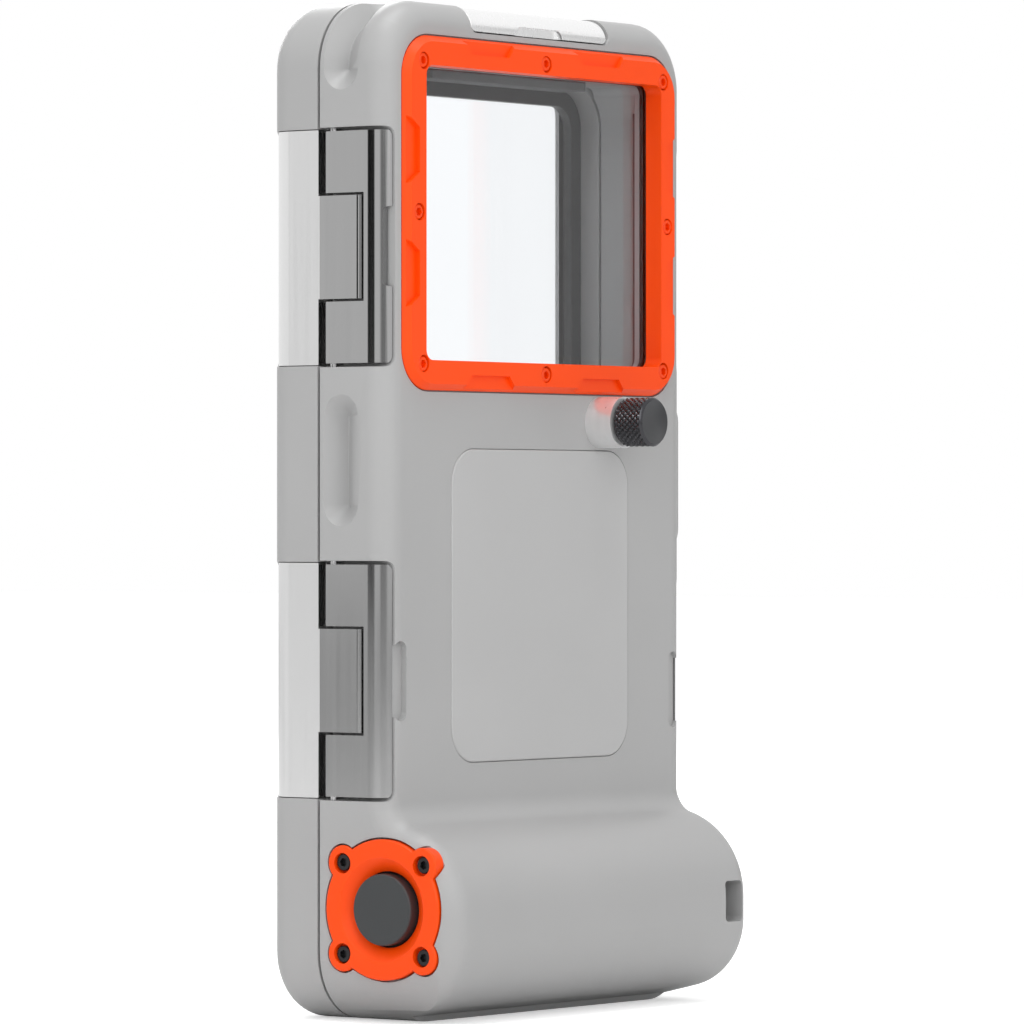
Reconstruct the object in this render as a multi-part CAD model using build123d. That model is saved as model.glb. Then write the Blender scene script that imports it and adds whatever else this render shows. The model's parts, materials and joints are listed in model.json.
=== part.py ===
from build123d import *
from math import radians, tan
from typing import NamedTuple, Optional
import os

# Waterproof phone case that stands upright, in millimetres.
# +X is the latch side, -X the hinge side, +Y the back with the camera window, +Z is up.
# Every depth is worked out from the seam between the two shells, which lies at Y = 0 while
# the pieces are made. The finished pieces are then moved so that the origin lies under the
# middle of the case, on the surface that it stands on.

# Two shells
body_width = 98.0
body_height = 192.0
front_depth = 12.8
rear_depth = 16.0
seam_gap = 0.6
corner_radius = 13.0
front_edge_radius = 5.5
rear_edge_radius = 4.8

# Room for the phone
side_wall = 8.0
end_wall = 12.0
cavity_radius = 8.0
rear_cavity_depth = 10.2

# Screen window
side_lip = 4.2
end_lip = 3.0
screen_radius = 2.5
bevel_width = 6.0
bevel_depth = 4.5
bevel_radius = 8.5
lip_thickness = 0.8
pane_thickness = 1.2
pane_margin = 0.4
frame_width = 3.4
frame_thickness = 2.0

# Sealing ring round the cavity, in a groove of the cover
seal_inset = 1.2
seal_width = 2.0
seal_depth = 2.4
seal_fit = 0.05
seal_rest_gap = 0.3

# Metal-faced plates that close the edges
corner_block = 24.4
middle_block = 40.2
lower_hinge_start = 38.6
lower_latch_start = 41.9
end_plate_length = 44.6
plate_thickness = 2.4
plate_recess = 0.3
front_wrap = 4.0
rear_wrap = 2.8
top_wrap = 5.0
plate_corner = 1.8
plate_seat = 0.05
moving_gap = 0.3
side_tongue_width = 19.4
end_tongue_width = 15.0
side_tongue_slot = 0.5
end_tongue_slot = 2.2
side_tongue_reach = 9.7
foot_tongue_reach = 6.4
tongue_end_gap = 0.7
tongue_under_gap = 1.0
tongue_roll = 1.0

# Latch levers
knuckle_radius = 1.7
knuckle_start = 0.1
lever_pin_radius = 0.75
pin_fit = 0.05
pin_grip = 3.5
foot_lever_reach = 11.0
notch_length = 15.0
notch_width = 3.4
side_notch_inset = 4.5
side_notch_depth = 1.2
plate_notch_inset = 2.5
plate_notch_depth = 1.9
foot_notch_depth = 1.2
foot_notch_rise = 0.4

# Hinges
hinge_depth_y = 10.4
cover_swing = 110.0
barrel_radius = 1.9
barrel_length = 15.0
hinge_pin_radius = 0.95

# Camera window
camera_below_top = 40.0
bezel_side_margin = 4.7
bezel_height = 67.0
bezel_radius = 8.0
bezel_bar_x = 5.8
bezel_bar_z = 5.7
bezel_inner_radius = 2.0
bezel_proud = 1.4
bezel_sunk = 0.8
bezel_fit = 0.15
bezel_slope_width = 1.5
bezel_slope_height = 1.2
camera_pane_thickness = 1.6
camera_pane_ledge = 0.9
camera_gasket_thickness = 0.8
camera_stack_floor = 11.3
bezel_screw_head = 1.6
bezel_screw_shank = 0.85
bezel_screw_end = 11.9
bezel_screw_inset = 1.4
screw_head_depth = 1.4
bezel_field_depth = 0.9
bezel_field_slant = 2.5
side_field_length = 13.4
side_field_width = 3.7
side_field_offset = 11.6
end_field_length = 17.0
end_field_width = 3.0
end_field_offset = 18.0

# Inlaid panel under the camera window
panel_side_margin = 20.2
panel_end_margin = 10.8
panel_radius = 7.0
panel_thickness = 1.4
panel_proud = 0.2
panel_fit = 0.1

# Grip along the foot, behind the lower end
grip_depth = 32.0
grip_height = 37.5
grip_foot = 12.0
grip_lift = 5.5
grip_top_radius = 17.0
grip_bottom_radius = 14.0
grip_blend = 5.0
chamber_front = 12.2
chamber_bottom = 9.5
chamber_back_wall = 5.2
chamber_top_wall = 5.0
chamber_radius = 7.0
chamber_left_margin = 19.0
chamber_right_margin = 9.3

# Hand recess and lanyard tunnel in the hinge side end of the grip: the recess's corners in Y
# and Z, each with its radius
recess_corners = ((1.7, 33.6, 9.0), (14.5, 34.6, 4.5), (26.6, 27.6, 4.5), (25.2, 7.4, 9.0), (1.7, 8.2, 8.0))
recess_depth = 1.6
recess_taper = 35.0
lanyard_y = 18.0
lanyard_z = 19.6
lanyard_width = 5.7
lanyard_height = 8.0
lanyard_mouth = 8.5
lanyard_exit_inset = 6.5
lanyard_exit_width = 6.0
lanyard_corner = 1.0

# Finger grooves: a short steep side in front, a long shallow one behind and round ends
groove_front = 1.2
groove_line = 3.4
groove_back = 9.4
groove_floor = 0.4
groove_depth = 1.5
groove_rise = 0.3
side_groove_below = 5.4
side_groove_above = 6.7

# Tripod pad on the hinge side
tripod_y = 7.4
pad_width = 12.2
pad_margin = 3.5
pad_proud = 1.4
pad_edge = 0.6
tripod_plate_margin = 1.5
tripod_plate_proud = 0.9
tripod_plate_sunk = 1.2
tripod_fit = 0.1
tripod_thread_radius = 2.6
tripod_insert_radius = 4.2
tripod_insert_length = 5.8
tripod_mouth_radius = 3.3
tripod_screw_inset = 4.7
tripod_screw_head = 1.7
tripod_screw_shank = 0.9
tripod_screw_length = 5.0

# Shutter button in the latch side end of the grip
shutter_y = 15.1
shutter_z = 21.5
shutter_radius = 13.4
shutter_ear_y = 9.4
shutter_ear_z = 8.6
shutter_ear_radius = 3.4
shutter_proud = 0.4
shutter_sunk = 2.2
shutter_fit = 0.15
funnel_radius = 9.8
funnel_depth = 2.2
shutter_edge = 0.3
button_radius = 6.75
button_gap = 0.4
button_edge = 0.5
button_travel = 1.5
flange_radius = 7.9
flange_thickness = 1.0
membrane_radius = 8.6
membrane_thickness = 1.0
bore_clearance = 0.5
bore_floor = 7.6
plunger_radius = 1.5
plunger_hole = 2.0
plunger_reach = 9.0
shutter_screw_head = 1.9
shutter_screw_sunk = 0.3
shutter_screw_end = 5.7

# Remote control parts inside the grip
board_length = 31.0
board_height = 20.0
board_thickness = 1.2
inner_gap = 0.3
switch_length = 4.2
switch_height = 6.0
switch_tip_radius = 1.0
switch_tip_length = 0.8
cell_radius = 10.0
cell_thickness = 3.2
cell_edge = 0.4
cell_holder_wall = 1.2
cell_holder_thickness = 3.6
cell_from_end = 17.3

# Air valve on the back
valve_side_margin = 29.5
valve_below_bezel = 5.3
valve_boss_radius = 5.0
valve_boss_length = 6.0
valve_knob_radius = 4.75
valve_knob_length = 6.8
valve_knob_edge = 0.5
valve_stem_radius = 2.5
valve_stem_fit = 0.06
valve_stem_end = 17.2
valve_stem_gap = 0.4
valve_vent_radius = 1.2
valve_seal_start = 18.2
valve_seal_width = 1.4
valve_groove_depth = 0.7
valve_seal_squeeze = 0.02
valve_rest_gap = 0.3

# Soft pads round the phone
cushion_thickness = 1.2
cushion_margin = 1.0
end_cushion_length = 50.0
end_cushion_thickness = 1.8
end_cushion_height = 6.0
end_cushion_start = 2.0

# How far a cutter reaches past the face that it opens
overrun = 1.0
cutter = 40.0

half_width = body_width / 2
half_gap = seam_gap / 2
cavity_width = body_width - 2 * side_wall
cavity_height = body_height - 2 * end_wall
screen_width = cavity_width - 2 * side_lip
screen_height = cavity_height - 2 * end_lip

plate_floor = plate_recess + plate_thickness
plate_length = (body_height - corner_block - middle_block - lower_hinge_start) / 2
half_plate = plate_length / 2
half_end_plate = end_plate_length / 2
upper_plate_z = body_height - corner_block - half_plate
lower_hinge_z = lower_hinge_start + half_plate
lower_latch_z = lower_latch_start + half_plate

camera_z = body_height - camera_below_top
bezel_width = body_width - 2 * bezel_side_margin
bezel_bottom = camera_z - bezel_height / 2
panel_width = body_width - 2 * panel_side_margin
panel_bottom = grip_height + panel_end_margin
panel_height = bezel_bottom - panel_end_margin - panel_bottom
panel_z = panel_bottom + panel_height / 2
valve_x = valve_side_margin - half_width
valve_z = bezel_bottom - valve_below_bezel

tripod_z = (upper_plate_z + lower_hinge_z) / 2
pad_length = middle_block - 2 * pad_margin
tripod_plate_width = pad_width - 2 * tripod_plate_margin
tripod_plate_length = pad_length - 2 * tripod_plate_margin
parts = {}


def xz_prism(sketch, start, end):
    """Stand a sketch drawn in X and Z upright and give it thickness from start to end in Y."""
    plane = Plane((0, end, 0), x_dir=(1, 0, 0), z_dir=(0, -1, 0))
    return extrude(plane * sketch, amount=end - start)


def yz_prism(sketch, start, end):
    """Give a sketch drawn in Y and Z thickness from start to end in X."""
    plane = Plane((start, 0, 0), x_dir=(0, 1, 0), z_dir=(1, 0, 0))
    return extrude(plane * sketch, amount=end - start)


def area(low_x, low_y, high_x, high_y):
    """Return a rectangle between two corners of the drawing plane."""
    centre = Pos((low_x + high_x) / 2, (low_y + high_y) / 2)
    return centre * Rectangle(high_x - low_x, high_y - low_y)


def rounded(face, *corners):
    """Round the corners of a face that lie nearest to the given points."""
    for x, y, radius in corners:
        corner = face.vertices().sort_by_distance((x, y, 0))[0]
        face = fillet(corner, radius)
    return face


def rod(radius, start, end, along, centre):
    """Return a round rod from start to end along one axis, at the centre of the other two."""
    blank = Cylinder(radius, end - start, align=(Align.CENTER, Align.CENTER, Align.MIN))
    a, b = centre
    if along == "X":
        return Pos(start, a, b) * Rot(0, 90, 0) * blank
    if along == "Y":
        return Pos(a, start, b) * Rot(-90, 0, 0) * blank
    return Pos(a, b, start) * blank


# Edge plates. They are drawn beside the latch side's surface: X is the distance out of the
# surface, Y the distance behind the seam and Z the distance along the edge.

def angle_section(start, depth, edge_radius):
    """Return the L-shaped section of a plate that runs down a side and round its far edge."""
    out = -plate_recess
    back = depth - plate_recess
    turn = edge_radius - plate_recess
    shell = rounded(area(-cutter, start, out, back), (out, back, turn))
    hollow = area(-cutter * 2, start - cutter, -plate_floor, depth - plate_floor)
    shell -= rounded(hollow, (-plate_floor, depth - plate_floor, turn - plate_thickness))
    return shell & area(-2 * edge_radius, start, 0, depth)


def angle_room(start, depth, edge_radius, gap):
    """Return the section that is cut from a shell to seat or free such a plate."""
    block = area(-2 * edge_radius, start, cutter, depth + cutter)
    floor = plate_floor + gap
    kept = area(-cutter, start - cutter, -floor, depth - floor)
    return block - rounded(kept, (-floor, depth - floor, edge_radius - floor))


class Latch(NamedTuple):
    """Sizes of one latch: its plates, the tongue, the slot beside it and the lever's reach."""

    half: float
    tongue_width: float
    tongue_slot: float
    tongue_reach: float
    wrap: float
    reach: Optional[float] = None


side_latch = Latch(half_plate, side_tongue_width, side_tongue_slot, side_tongue_reach, rear_wrap)
top_latch = Latch(half_end_plate, end_tongue_width, end_tongue_slot, side_tongue_reach, top_wrap)
foot_latch = Latch(half_end_plate, end_tongue_width, end_tongue_slot, foot_tongue_reach, rear_wrap,
                   foot_lever_reach)


def plate_outline(half, wrap, gap):
    """Return the prism that gives a plate's foot its two rounded corners."""
    sketch = area(-wrap - gap, -half - gap, cutter, half + gap)
    sketch = rounded(sketch, (-wrap - gap, -half, plate_corner), (-wrap - gap, half, plate_corner))
    return xz_prism(sketch, -cutter, cutter)


def tall(section, half_length):
    """Extrude a section both ways along the edge."""
    return extrude(section, amount=half_length, both=True)


def to_front(shape):
    """Turn a shape made behind the seam into one in front of it."""
    return mirror(shape, Plane.XZ)


def tongue_blank(width, reach):
    """Return the tongue that runs back from a cover plate across the seam."""
    section = area(-plate_floor, -seam_gap, -plate_recess, reach)
    section = rounded(section, (-plate_recess, reach, tongue_roll))
    return tall(section, width / 2)


def keeper(half, tongue_width, reach):
    """Return the plate on the cover's edge, with the tongue that its lever closes on."""
    section = angle_section(half_gap, front_depth, front_edge_radius)
    plate = tall(to_front(section), half)
    plate = plate & plate_outline(half, front_wrap, 0)
    return plate + tongue_blank(tongue_width, reach)


def keeper_room(half):
    """Return what is cut from the cover for one plate."""
    section = angle_room(-seam_gap, front_depth, front_edge_radius, plate_seat)
    return tall(to_front(section), cutter) & plate_outline(half, front_wrap, plate_seat)


lever_pivot_w = -plate_recess - knuckle_radius
lever_pivot_y = half_gap + knuckle_start + knuckle_radius
lever_pivot = (lever_pivot_w, lever_pivot_y)


def lever_section(reach):
    """Return the section of a lever's blade, behind its knuckle."""
    if reach is None:
        return angle_section(lever_pivot_y, rear_depth, rear_edge_radius)
    return area(-plate_floor, lever_pivot_y, -plate_recess, reach)


def lever(latch):
    """Return a forked latch lever: it turns on pins in its two arms, beside the seam."""
    blade = tall(lever_section(latch.reach), latch.half - moving_gap)
    blade = blade & plate_outline(latch.half, latch.wrap, 0)
    blade += tall(Pos(*lever_pivot) * Circle(knuckle_radius), latch.half - moving_gap)
    slot = area(-cutter, -cutter, cutter, latch.tongue_reach + tongue_end_gap)
    blade -= tall(slot, latch.tongue_width / 2 + latch.tongue_slot)
    return blade - rod(lever_pin_radius + pin_fit, -cutter, cutter, "Z", lever_pivot)


def lever_pins(latch):
    """Return the two short pins that carry one lever."""
    inner = latch.tongue_width / 2 + latch.tongue_slot + moving_gap
    outer = latch.half + pin_grip
    pin = rod(lever_pin_radius, inner, outer, "Z", lever_pivot)
    return Compound([pin, rod(lever_pin_radius, -outer, -inner, "Z", lever_pivot)])


def lever_room(latch):
    """Return what is cut from the rear shell for a lever, its pins and the tongue."""
    if latch.reach is None:
        section = angle_room(-seam_gap, rear_depth, rear_edge_radius, moving_gap)
        room = tall(section, cutter) & plate_outline(latch.half, latch.wrap, moving_gap)
    else:
        section = area(-plate_floor - moving_gap, -seam_gap, cutter, latch.reach + moving_gap)
        room = tall(section, latch.half)
    channel = Pos(*lever_pivot) * Circle(knuckle_radius + moving_gap)
    inward = lever_pivot_w - knuckle_radius - moving_gap
    channel += area(inward, -seam_gap, 0, lever_pivot_y)
    room += tall(channel, latch.half)
    slot_end = latch.tongue_reach + tongue_end_gap
    deep = area(-plate_floor - tongue_under_gap, -seam_gap, 0, slot_end)
    room += tall(deep, latch.tongue_width / 2 + latch.tongue_slot)
    end = latch.half + pin_grip + pin_fit
    return room + rod(lever_pin_radius + pin_fit / 2, -end, end, "Z", lever_pivot)


hinge_axis_w = -plate_recess - barrel_radius
hinge_axis = (hinge_axis_w, hinge_depth_y)
half_tongue = side_tongue_width / 2


def hinge_leaf():
    """Return the cover's hinge plate: its tongue ends in two lugs round the hinge pin."""
    clear = hinge_depth_y - barrel_radius - moving_gap
    leaf = keeper(half_plate, side_tongue_width, clear)
    lug_start = barrel_length / 2 + inner_gap
    for low, high in ((lug_start, half_tongue), (-half_tongue, -lug_start)):
        lug = area(-plate_floor, clear - tongue_roll, -plate_recess, hinge_depth_y)
        lug += Pos(*hinge_axis) * Circle(barrel_radius)
        leaf += Pos(0, 0, low) * extrude(lug, amount=high - low)
    return leaf - rod(hinge_pin_radius + pin_fit, -cutter, cutter, "Z", hinge_axis)


def hinge_plate():
    """Return the forked hinge plate on the rear shell, with knuckles for the pin.

    Its slot ends where the faces of the leaf and of the plate cross with the cover swung open.
    """
    section = angle_section(half_gap, rear_depth, rear_edge_radius)
    plate = tall(section, half_plate) & plate_outline(half_plate, rear_wrap, 0)
    plate += tall(Pos(*hinge_axis) * Circle(barrel_radius), half_plate)
    crossing = barrel_radius * tan(radians(cover_swing / 2))
    slot = area(-cutter, -cutter, cutter, hinge_depth_y + crossing + moving_gap)
    plate -= tall(slot, half_tongue + side_tongue_slot)
    return plate - rod(hinge_pin_radius + pin_fit / 2, -cutter, cutter, "Z", hinge_axis)


def hinge_pin():
    """Return the steel pin of one hinge."""
    end = half_plate + pin_grip
    return rod(hinge_pin_radius, -end, end, "Z", hinge_axis)


def hinge_sleeve():
    """Return the dark sleeve on the pin, between the two lugs."""
    sleeve = rod(barrel_radius, -barrel_length / 2, barrel_length / 2, "Z", hinge_axis)
    return sleeve - rod(hinge_pin_radius + pin_fit / 2, -cutter, cutter, "Z", hinge_axis)


def hinge_room():
    """Return what is cut from the rear shell for a hinge."""
    section = angle_room(-seam_gap, rear_depth, rear_edge_radius, plate_seat)
    room = tall(section, cutter) & plate_outline(half_plate, rear_wrap, plate_seat)
    channel = Pos(*hinge_axis) * Circle(barrel_radius + moving_gap)
    room += tall(channel, half_plate)
    deep = area(-plate_floor - moving_gap, -seam_gap, 0, hinge_depth_y)
    room += tall(deep, half_tongue + side_tongue_slot)
    end = half_plate + pin_grip + pin_fit
    return room + rod(hinge_pin_radius + pin_fit / 2, -end, end, "Z", hinge_axis)


def nail_notch(inset, depth):
    """Return the upright nail notch at a side plate's free edge, sunk in the back."""
    slot = Pos(-inset, 0) * Rot(0, 0, 90) * SlotOverall(notch_length, notch_width)
    return xz_prism(slot, rear_depth - depth, cutter)


def side_notch():
    """Return the notch that is cut from the shell, beside a plate's free edge."""
    return nail_notch(side_notch_inset, side_notch_depth)


def plate_notch():
    """Return the notch that is cut from a plate's own free edge."""
    return nail_notch(plate_notch_inset, plate_notch_depth)


def on_latch_side(shape, height):
    """Put an edge shape on the latch side, centred at a height."""
    return Pos(half_width, 0, height) * shape


def on_hinge_side(shape, height):
    """Put an edge shape on the hinge side, centred at a height."""
    return mirror(on_latch_side(shape, height), Plane.YZ)


def on_top(shape):
    """Put an edge shape on the top."""
    return Pos(0, 0, body_height) * Rot(0, -90, 0) * shape


def on_foot(shape):
    """Put an edge shape under the foot."""
    return Rot(0, 90, 0) * shape


# Shells

def outline(width, height, radius, middle=body_height / 2):
    """Return an upright rounded rectangle, centred at a height."""
    return Pos(0, middle) * RectangleRounded(width, height, radius)


def shell_block(start, end, soft_side, edge_radius):
    """Return one half of the body, with the edge of its first or last face in Y rounded."""
    block = xz_prism(outline(body_width, body_height, corner_radius), start, end)
    return fillet(block.faces().sort_by(Axis.Y)[soft_side].edges(), edge_radius)


def grip_profile():
    """Return the grip's section in Y and Z, blended into the back above it."""
    foot = (grip_foot, 0)
    low = (grip_depth, grip_lift)
    high = (grip_depth, grip_height)
    profile = make_face(Polyline((half_gap, 0), foot, low, high, (half_gap, grip_height), close=True))
    profile = rounded(profile, (*high, grip_top_radius), (*low, grip_bottom_radius))
    profile += area(half_gap, 0, rear_depth, grip_height + 2 * grip_blend)
    return rounded(profile, (rear_depth, grip_height, grip_blend))


def grip_block():
    """Return the bulge along the foot, with soft ends and the body's lower corners."""
    block = yz_prism(grip_profile(), -half_width, half_width)
    ends = block.edges().filter_by(Plane.YZ)
    back = ends.filter_by(lambda edge: edge.center().Y > grip_foot)
    block = fillet(back, rear_edge_radius)
    return block & xz_prism(outline(body_width, body_height, corner_radius), 0, grip_depth + overrun)


def groove_span(share):
    """Return where a groove's two sides lie in Y, at a share of the way from floor to surface."""
    floor_front = groove_line - groove_floor / 2
    floor_back = groove_line + groove_floor / 2
    front = floor_front + share * (groove_front - floor_front)
    return front, floor_back + share * (groove_back - floor_back)


def groove_section():
    """Return a groove's section: out of the surface in X, behind the seam in Y."""
    front, back = groove_span(0)
    outer_front, outer_back = groove_span(1 + groove_rise)
    rise = groove_depth * groove_rise
    points = [(-groove_depth, front), (-groove_depth, back), (rise, outer_back), (rise, outer_front)]
    return make_face(Polyline(*points, close=True))


def groove_end():
    """Return the round lower end of an upright groove, below the plane Z = 0."""
    rings = []
    for share in (0, 1 + groove_rise):
        front, back = groove_span(share)
        plane = Plane((groove_depth * (share - 1), (front + back) / 2, 0), x_dir=(0, 1, 0), z_dir=(1, 0, 0))
        rings.append(plane * Circle((back - front) / 2))
    below = Pos(0, 0, -cutter / 2) * Box(cutter, cutter, cutter)
    return loft(rings) & below


def side_groove():
    """Return the cutter of the groove between the two latch levers."""
    reach = (groove_back - groove_front) / 2
    low = lower_latch_z + half_plate + side_groove_above + reach
    high = upper_plate_z - half_plate - side_groove_below - reach
    groove = Pos(0, 0, low) * extrude(groove_section(), amount=high - low)
    groove += Pos(0, 0, low) * groove_end()
    groove += Pos(0, 0, high) * mirror(groove_end(), Plane.XY)
    return Pos(half_width, 0, 0) * groove


def corner_groove():
    """Return the cutter of the groove that runs round an upper corner."""
    outward = Pos(corner_radius, 0, 0)
    turn = revolve(outward * groove_section(), Axis((0, 0, 0), (0, -1, 0)), revolution_arc=90)
    side = outward * groove_end()
    groove = turn + side + mirror(side, Plane((0, 0, 0), z_dir=(1, 0, -1)))
    return Pos(half_width - corner_radius, 0, body_height - corner_radius) * groove


def recess_face():
    """Return the outline of the hand recess in the hinge side end of the grip."""
    face = make_face(Polyline(*[(y, z) for y, z, radius in recess_corners], close=True))
    return rounded(face, *recess_corners)


def hand_recess():
    """Return the tapered cutter of the hand recess."""
    plane = Plane((-half_width, 0, 0), x_dir=(0, 1, 0), z_dir=(1, 0, 0))
    return extrude(plane * recess_face(), amount=recess_depth, taper=recess_taper)


def lanyard_tunnel():
    """Return the cutter of the lanyard's way: in at the end and out at the back."""
    mouth = Pos(lanyard_y, lanyard_z) * RectangleRounded(lanyard_width, lanyard_height, lanyard_corner)
    way = yz_prism(mouth, -half_width - overrun, -half_width + lanyard_mouth)
    leave = Pos(lanyard_exit_inset - half_width, lanyard_z)
    leave = leave * RectangleRounded(lanyard_exit_width, lanyard_height, lanyard_corner)
    return way + xz_prism(leave, lanyard_y - lanyard_width / 2, grip_depth + overrun)


def seal_ring(inset, width, start, end):
    """Return a ring round the cavity, a distance outside its wall."""
    inner = inset * 2
    outer = (inset + width) * 2
    ring = outline(cavity_width + outer, cavity_height + outer, cavity_radius + inset + width)
    ring -= outline(cavity_width + inner, cavity_height + inner, cavity_radius + inset)
    return xz_prism(ring, start, end)


bezel_inner_width = bezel_width - 2 * bezel_bar_x
bezel_inner_height = bezel_height - 2 * bezel_bar_z
camera_pane_outer = rear_depth - bezel_sunk
camera_pane_start = camera_stack_floor + camera_gasket_thickness
bezel_screw_x = (bezel_width - bezel_bar_x - bezel_slope_width) / 2
bezel_screw_z = (bezel_height - bezel_bar_z - bezel_slope_width) / 2
bezel_top = rear_depth + bezel_proud


def camera_outline(grow, radius_grow=0.0):
    """Return the camera opening's outline, grown on every side."""
    width = bezel_inner_width + 2 * grow
    height = bezel_inner_height + 2 * grow
    return outline(width, height, bezel_inner_radius + radius_grow, camera_z)


def bezel_places():
    """Return the eight places of the bezel's screws, in X and Z."""
    x = bezel_screw_x - bezel_screw_inset
    z = bezel_screw_z - bezel_screw_inset
    places = [(side * x, camera_z + end * z) for side in (-1, 1) for end in (-1, 1)]
    places += [(side * bezel_screw_x, camera_z) for side in (-1, 1)]
    return places + [(0, camera_z + end * bezel_screw_z) for end in (-1, 1)]


def shutter_outline(grow):
    """Return the shutter bezel's outline: a disc with four ears."""
    face = Circle(shutter_radius + grow)
    for y, z in ear_places():
        face += Pos(y, z) * Circle(shutter_ear_radius + grow)
    return Pos(shutter_y, shutter_z) * face


def ear_places():
    """Return the four ears' centres, from the button's axis."""
    return [(y, z) for y in (-shutter_ear_y, shutter_ear_y) for z in (-shutter_ear_z, shutter_ear_z)]


tripod_face = -half_width - tripod_plate_proud
tripod_plate_floor = -half_width + tripod_plate_sunk


def stadium(width, length):
    """Return an upright stadium in Y and Z, centred on the tripod pad."""
    return Pos(tripod_y, tripod_z) * Rot(0, 0, 90) * SlotOverall(length, width)


def tripod_screw_places():
    """Return the two places of the tripod plate's screws, in Y and Z."""
    half = tripod_plate_length / 2 - tripod_screw_inset
    return [(tripod_y, tripod_z - half), (tripod_y, tripod_z + half)]


end_face = half_width
button_top = end_face + shutter_proud
flange_top = end_face - shutter_sunk - membrane_thickness - moving_gap


def make_rear_shell():
    """Return the rear shell with its grip, rooms, seats and grooves."""
    shell = shell_block(half_gap, rear_depth, -1, rear_edge_radius) + grip_block()
    pad = yz_prism(stadium(pad_width, pad_length), -half_width - pad_proud, -half_width + overrun)
    pad = chamfer(pad.faces().sort_by(Axis.X)[0].edges(), pad_edge)
    shell += pad
    boss_end = rear_depth + valve_boss_length
    shell += rod(valve_boss_radius, rear_depth - overrun, boss_end, "Y", (valve_x, valve_z))
    shell -= xz_prism(outline(cavity_width, cavity_height, cavity_radius), -overrun, rear_cavity_depth)
    for height in (upper_plate_z, lower_latch_z):
        shell -= on_latch_side(lever_room(side_latch), height)
    for height in (upper_plate_z, lower_hinge_z):
        shell -= on_hinge_side(hinge_room(), height)
    shell -= on_latch_side(side_notch(), lower_latch_z)
    shell -= on_hinge_side(side_notch(), lower_hinge_z)
    shell -= on_top(lever_room(top_latch))
    shell -= on_foot(lever_room(foot_latch))
    shell -= foot_notch()
    shell -= corner_groove() + mirror(corner_groove(), Plane.YZ)
    shell -= side_groove()
    shell -= hand_recess() + lanyard_tunnel()
    shell -= camera_room() + panel_room() + valve_room() + tripod_room() + shutter_room()
    return shell - chamber()


def foot_notch():
    """Return the nail notch behind the foot lever's free edge."""
    radius = (notch_length ** 2 / 4 + foot_notch_depth ** 2) / (2 * foot_notch_depth)
    start = foot_lever_reach
    return rod(radius, start, start + notch_width, "Y", (0, foot_notch_depth + foot_notch_rise - radius))


def camera_room():
    """Return what is cut from the back wall for the camera window."""
    width = bezel_width + 2 * bezel_fit
    height = bezel_height + 2 * bezel_fit
    seat = outline(width, height, bezel_radius + bezel_fit, camera_z)
    room = xz_prism(seat, camera_pane_outer, rear_depth + overrun)
    wide = camera_outline(camera_pane_ledge + bezel_fit, camera_pane_ledge)
    room += xz_prism(wide, camera_stack_floor, rear_depth)
    room += xz_prism(camera_outline(0), 0, rear_depth)
    for place in bezel_places():
        room += rod(bezel_screw_shank + pin_fit, bezel_screw_end, rear_depth, "Y", place)
    return room


def panel_room():
    """Return the seat of the inlaid panel."""
    seat = outline(panel_width + 2 * panel_fit, panel_height + 2 * panel_fit, panel_radius, panel_z)
    return xz_prism(seat, rear_depth + panel_proud - panel_thickness, rear_depth + overrun)


def valve_room():
    """Return the bore of the valve and its vent into the cavity."""
    centre = (valve_x, valve_z)
    bore = rod(valve_stem_radius + valve_stem_fit, valve_stem_end - valve_stem_gap, cutter, "Y", centre)
    return bore + rod(valve_vent_radius, 0, valve_stem_end, "Y", centre)


def tripod_room():
    """Return the seat of the tripod plate, its insert and its screws."""
    sunk = -half_width + tripod_plate_sunk
    seat = stadium(tripod_plate_width + 2 * tripod_fit, tripod_plate_length + 2 * tripod_fit)
    room = yz_prism(seat, -half_width - cutter, sunk)
    depth = sunk + tripod_insert_length + tripod_fit
    room += rod(tripod_insert_radius + pin_fit, sunk, depth, "X", (tripod_y, tripod_z))
    for place in tripod_screw_places():
        room += rod(tripod_screw_shank + pin_fit, sunk, sunk + tripod_screw_length, "X", place)
    return room


def shutter_room():
    """Return the seat of the shutter's bezel, membrane and button, and the plunger's hole."""
    room = yz_prism(shutter_outline(shutter_fit), end_face - shutter_sunk, end_face + cutter)
    centre = (shutter_y, shutter_z)
    seat = end_face - shutter_sunk - membrane_thickness
    room += rod(membrane_radius + 2 * shutter_fit, seat, end_face, "X", centre)
    room += rod(flange_radius + bore_clearance, end_face - bore_floor, end_face, "X", centre)
    room += rod(plunger_hole, chamber_right - overrun, end_face, "X", centre)
    for y, z in ear_places():
        place = (shutter_y + y, shutter_z + z)
        room += rod(bezel_screw_shank + pin_fit, end_face - shutter_screw_end, end_face, "X", place)
    return room


chamber_back = grip_depth - chamber_back_wall
chamber_top = grip_height - chamber_top_wall
chamber_left = chamber_left_margin - half_width
chamber_right = half_width - chamber_right_margin


def chamber():
    """Return the dry chamber in the grip that holds the remote control parts."""
    face = area(chamber_front, chamber_bottom, chamber_back, chamber_top)
    low = (chamber_back, chamber_bottom, chamber_radius)
    high = (chamber_back, chamber_top, chamber_radius)
    return yz_prism(rounded(face, low, high), chamber_left, chamber_right)


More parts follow.
